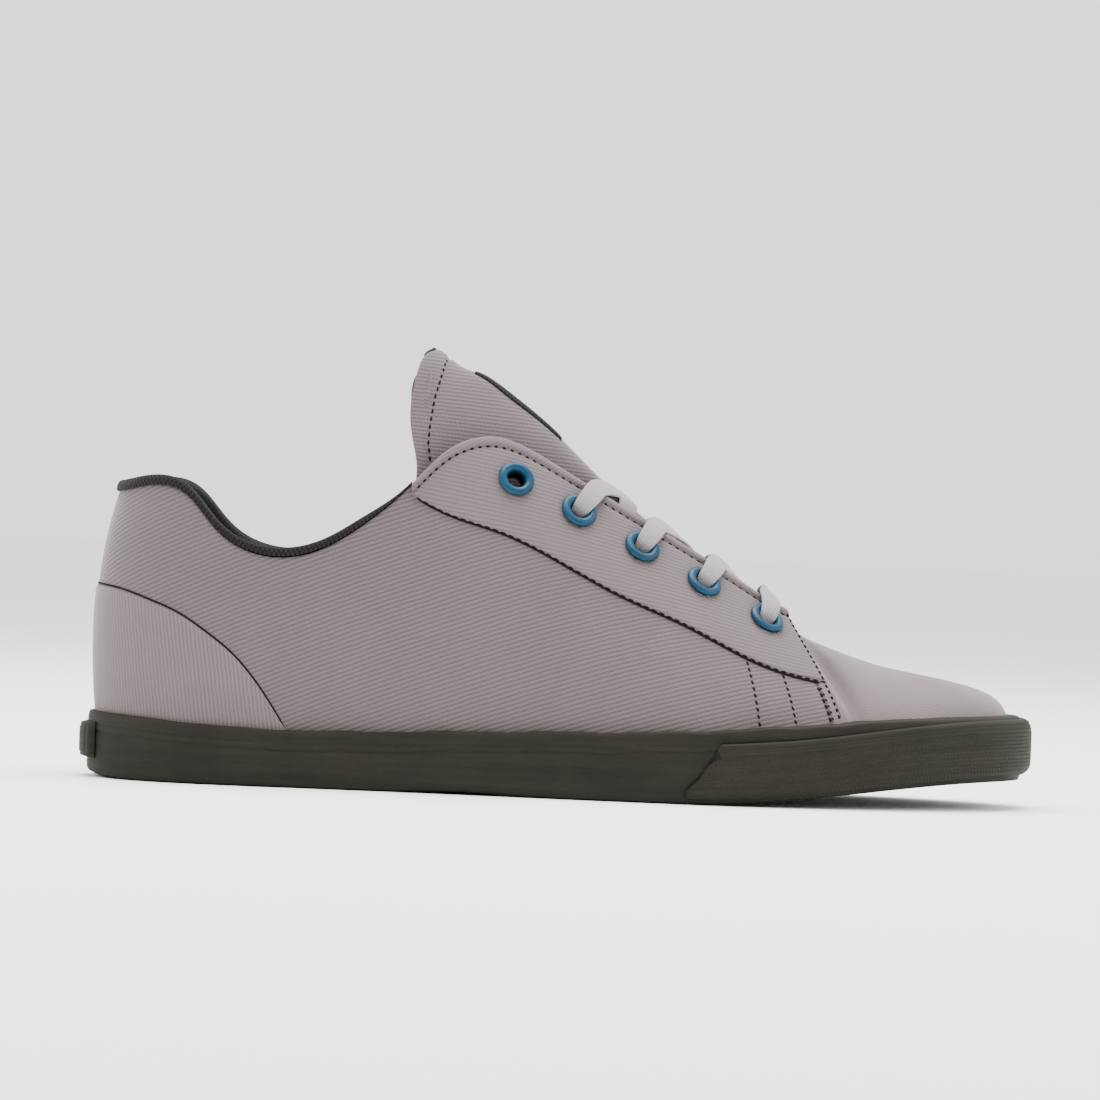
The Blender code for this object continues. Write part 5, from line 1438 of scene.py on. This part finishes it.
# Bumper: a strip of its own round the toe, following the foxing's face, with three sunk lines under
# its rounded top edge
def bumperRings():
    start = turnOf(np.array(bumperShape["start"]))
    share = np.linspace(0, 1, bumperShape["columns"])
    thick, line, drop, toeDrop = (bumperShape[key] for key in ("thick", "line", "drop", "toeDrop"))
    swelling = 0.55 + 0.45 * smoothstep(0.0, 0.006, share)

    def build(side):
        def point(heightShare, depth, above=0.0):
            first = start[0] + (start[1] - start[0]) * heightShare
            turn = np.minimum(first + (1 - first) * share, 1.0)
            plan, outward = outline(turn, side)
            under, over = rise(plan[:, 0]), foxingTop(plan[:, 0])
            low = under + 2 * soleShape["edge"]
            fall = drop + (toeDrop - drop) * smoothstep(0.72, 0.97, footOf(turn))
            height = low + (over - fall - low) * heightShare + above
            stand = last["gap"] - foxingStandBack(turn, under, over, height) + depth * swelling
            flat = plan + outward * stand[:, None]
            return np.stack([flat[:, 0], flat[:, 1], height], -1)

        points = [point(h, 0.0) for h in (0.0, 0.12, 0.25, 0.6, 0.85, 1.0)]
        for part, down in ((0.50, 0.0001), (0.82, 0.0004), (1.0, 0.0009)):
            points.append(point(1.0, part * thick, -down))
        for down in (0.0014, 0.0024, 0.0034):
            points += [point(1.0, thick, -down + 0.0003), point(1.0, thick - line, -down - 0.0001)]
            points += [point(1.0, thick - line, -down - 0.0003), point(1.0, thick, -down - 0.0006)]
        points += [point(h, thick) for h in (0.62, 0.5, 0.38, 0.28)]
        points += [point(0.0, part * thick, up) for part, up in bumperFoot]
        return np.stack(points, 1)

    sides = build(lateral), build(medial)
    return np.concatenate([sides[0], sides[1][:-1][::-1]])


rings = bumperRings()
uv = ringUv(rings, 22)
uv[..., 1] = rings[:, 20:21, 2] - rings[..., 2]
bumper = loftMesh("toeBumper", rings, uv, [bumperRubber])
finishPiece(bumper, "foxing_rubber", "toe_bumper")

badgeShape = dict(width=0.0300, height=0.0112, thick=0.0021, line=0.00028, middle=0.56, columns=49, rows=25)


# Badge: a bare pillow, one less high powers of both distances, with a sunk frame line; it is wrapped
# round the back of the foxing
def badgeSheets():
    fine = np.linspace(0, float(turnOf(0.1)), 200)
    edge = float(np.interp(badgeShape["width"] / 2, np.abs(outline(fine, medial)[0][:, 1]), fine))
    across, tall = np.linspace(-1, 1, badgeShape["columns"]), np.linspace(-1, 1, badgeShape["rows"])
    turn = np.abs(across) * edge
    plan, outward = outline(turn, medial)
    other, otherOut = outline(turn, lateral)
    onLateral = across[:, None] < 0
    plan, outward = np.where(onLateral, other, plan), np.where(onLateral, otherOut, outward)
    a, b = np.abs(across)[:, None], np.abs(tall)[None, :]
    pillow = np.clip(1 - (a**8 + b**6), 0, 1) ** 0.35
    frameLine = badgeShape["line"] * np.exp(-(((np.maximum(a * 1.02, b * 1.10) - 0.84) / 0.05) ** 2))
    height = foxingTop(0.0) * badgeShape["middle"] + 0.5 * badgeShape["height"] * tall[None, :]

    def sheet(depth):
        flat = plan[:, None] + outward[:, None] * depth[..., None]
        return np.stack([flat[..., 0], flat[..., 1], height * np.ones_like(depth)], -1)

    outer = sheet(last["gap"] + 0.0002 + badgeShape["thick"] * pillow - frameLine)
    inner = sheet(np.full(outer.shape[:2], last["gap"]))
    return outer, inner, outer[..., 1:]


badge = sheetMesh("heelBadge", *badgeSheets(), [treadRubber])
finishPiece(badge, "foxing_rubber", "heel_badge")

treadShape = dict(columns=424, rows=114, depth=0.0014, pitch=0.0074, slant=1.7, border=0.0045)


# Tread: the underside as a height over the plan, cut by two families of slanting grooves into
# lozenges, with a plain border; the lozenge tops keep the sole's own line
def treadSheets():
    foot = (1 - np.cos(math.pi * np.linspace(0.0, 1, treadShape["columns"]))) / 2
    foot = 0.35 * foot + 0.65 * np.linspace(0, 1, treadShape["columns"])
    turn = np.clip(turnOf(foot), 0.012, 0.988)
    inset = last["foxingSide"] + last["gap"]
    edges = [outline(turn, side, inset)[0] for side in (lateral, medial)]
    share = np.linspace(0, 1, treadShape["rows"])[None, :, None]
    plan = edges[0][:, None] * (1 - share) + edges[1][:, None] * share
    low = rise(plan[..., 0])
    width = np.linalg.norm(edges[1] - edges[0], axis=1)[:, None]
    toEdge = np.minimum(share[..., 0], 1 - share[..., 0]) * width
    ends = np.minimum(plan[..., 0] - plan[..., 0].min(), plan[..., 0].max() - plan[..., 0])
    toEdge = np.minimum(toEdge, ends * 1.5)
    pitch, border, slant = treadShape["pitch"], treadShape["border"], treadShape["slant"]
    first = np.abs(((plan[..., 0] + slant * plan[..., 1]) / pitch) % 2 - 1)
    second = np.abs(((plan[..., 0] - slant * plan[..., 1]) / pitch) % 2 - 1)
    groove = np.maximum(smoothstep(0.70, 0.90, first), smoothstep(0.70, 0.90, second))
    groove = groove * smoothstep(border, border + 0.0012, toEdge)
    ring = np.exp(-(((toEdge - border) / 0.0008) ** 2))
    depth = treadShape["depth"] * np.maximum(groove, 0.6 * ring)
    under = np.concatenate([plan, (low + depth)[..., None]], -1)
    over = np.concatenate([plan, (low + last["outsole"])[..., None]], -1)
    return under, over, plan


tread = sheetMesh("outsoleTread", *treadSheets(), [treadRubber])
finishPiece(tread, "outsole_rubber", "outsole")

bedShape = dict(columns=150, rows=51, thick=0.0075, toeThick=0.0040, hollow=0.0006, heelHollow=0.0022)


# Footbed: a shallow cup over the midsole, thinner at the toe, its edge raised by a fourth power of the
# distance from the middle, most at the heel
def footbedSheets():
    turn = np.linspace(0.03, 0.975, bedShape["columns"])
    share = np.linspace(-1, 1, bedShape["rows"])

    def build(level, lift):
        edges = []
        for side in (lateral, medial):
            along = lastCurve(turn, np.zeros(len(turn)), side)[:, 0]
            toeward = smoothstep(0.35, 0.75, along / last["soleLength"])
            thick = bedShape["thick"] + (bedShape["toeThick"] - bedShape["thick"]) * toeward
            height = rise(along) + last["outsole"] + last["midsole"] + 2 * last["gap"] + level * thick
            point = skin(turn, upAt(turn, height, side), side, -(last["wall"] + 3 * last["gap"]))[0]
            edges.append(np.stack([point[:, 0], point[:, 1], height], -1))
        w = ((share + 1) / 2)[None, :, None]
        grid = edges[0][:, None] * (1 - w) + edges[1][:, None] * w
        heel = 1 - smoothstep(0.2, 0.5, grid[..., 0] / last["soleLength"])
        hollow = bedShape["hollow"] + (bedShape["heelHollow"] - bedShape["hollow"]) * heel
        grid[..., 2] += lift * hollow * (np.abs(share)[None, :] ** 4 - 0.35)
        return grid

    top = build(1.0, 1.0)
    return top, build(0.0, 0.0), top[..., :2]


finishPiece(sheetMesh("footbed", *footbedSheets(), [footbedCloth]), "lining", "insole")
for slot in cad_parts["midsole"].material_slots:
    slot.material = foamFinish
print("shoe: sole made")

studioShape = dict(floor=60.0, white=0.96, sky=1.8, aim=(0.10, 0, 0.05))
# Name, place, size and power of each light
studioLights = (
    ("overhead", (0.12, 0.10, 1.5), 1.4, 62.0),
    ("toeSide", (1.3, -0.3, 0.7), 0.9, 6.0),
    ("heelSide", (-1.2, -0.2, 0.8), 0.9, 6.0),
)


# A pale floor that runs to the horizon, an even pale sky, one large soft light overhead and two weak
# ones, all aimed at the shoe
def floorAndLight():
    mesh = bpy.data.meshes.new("studioFloor")
    size = studioShape["floor"]
    corners = [(x * size, y * size, 0) for x, y in ((-1, -1), (1, -1), (1, 1), (-1, 1))]
    mesh.from_pydata(corners, [], [(0, 1, 2, 3)])
    floor = bpy.data.objects.new("studioFloor", mesh)
    bpy.context.scene.collection.objects.link(floor)
    paint = Nodes("studioWhite", 0.9, "object")
    mesh.materials.append(paint.finish((studioShape["white"],) * 3))
    world = bpy.data.worlds.new("studio")
    bpy.context.scene.world = world
    world.use_nodes = True
    sky = world.node_tree.nodes["Background"]
    sky.inputs["Color"].default_value = (1.0, 1.0, 1.0, 1)
    sky.inputs["Strength"].default_value = studioShape["sky"]
    for name, place, size, power in studioLights:
        light = bpy.data.lights.new(name, "AREA")
        light.size = size
        light.energy = power
        lamp = bpy.data.objects.new(name, light)
        lamp.location = place
        towards = Vector(studioShape["aim"]) - Vector(place)
        lamp.rotation_euler = towards.to_track_quat("-Z", "Y").to_euler()
        bpy.context.scene.collection.objects.link(lamp)


cameraShape = dict(centre=(0.0987, 0.0757), distance=1.55, across=0.3450, roll=2.1)


# The camera looks level along +Y, rolled by the slope on which the photographed shoe stands; its lens
# follows from the width it should take in at its distance
def placeCamera():
    data = bpy.data.cameras.new("photoCamera")
    data.sensor_width = 36.0
    data.lens = data.sensor_width * cameraShape["distance"] / cameraShape["across"]
    camera = bpy.data.objects.new("photoCamera", data)
    x, z = cameraShape["centre"]
    upright = Matrix.Rotation(math.radians(90), 4, "X")
    roll = Matrix.Rotation(math.radians(cameraShape["roll"]), 4, "Z")
    camera.matrix_world = Matrix.Translation((x, -cameraShape["distance"], z)) @ upright @ roll
    bpy.context.scene.collection.objects.link(camera)
    bpy.context.scene.camera = camera


floorAndLight()
placeCamera()
print("shoe: studio ready")
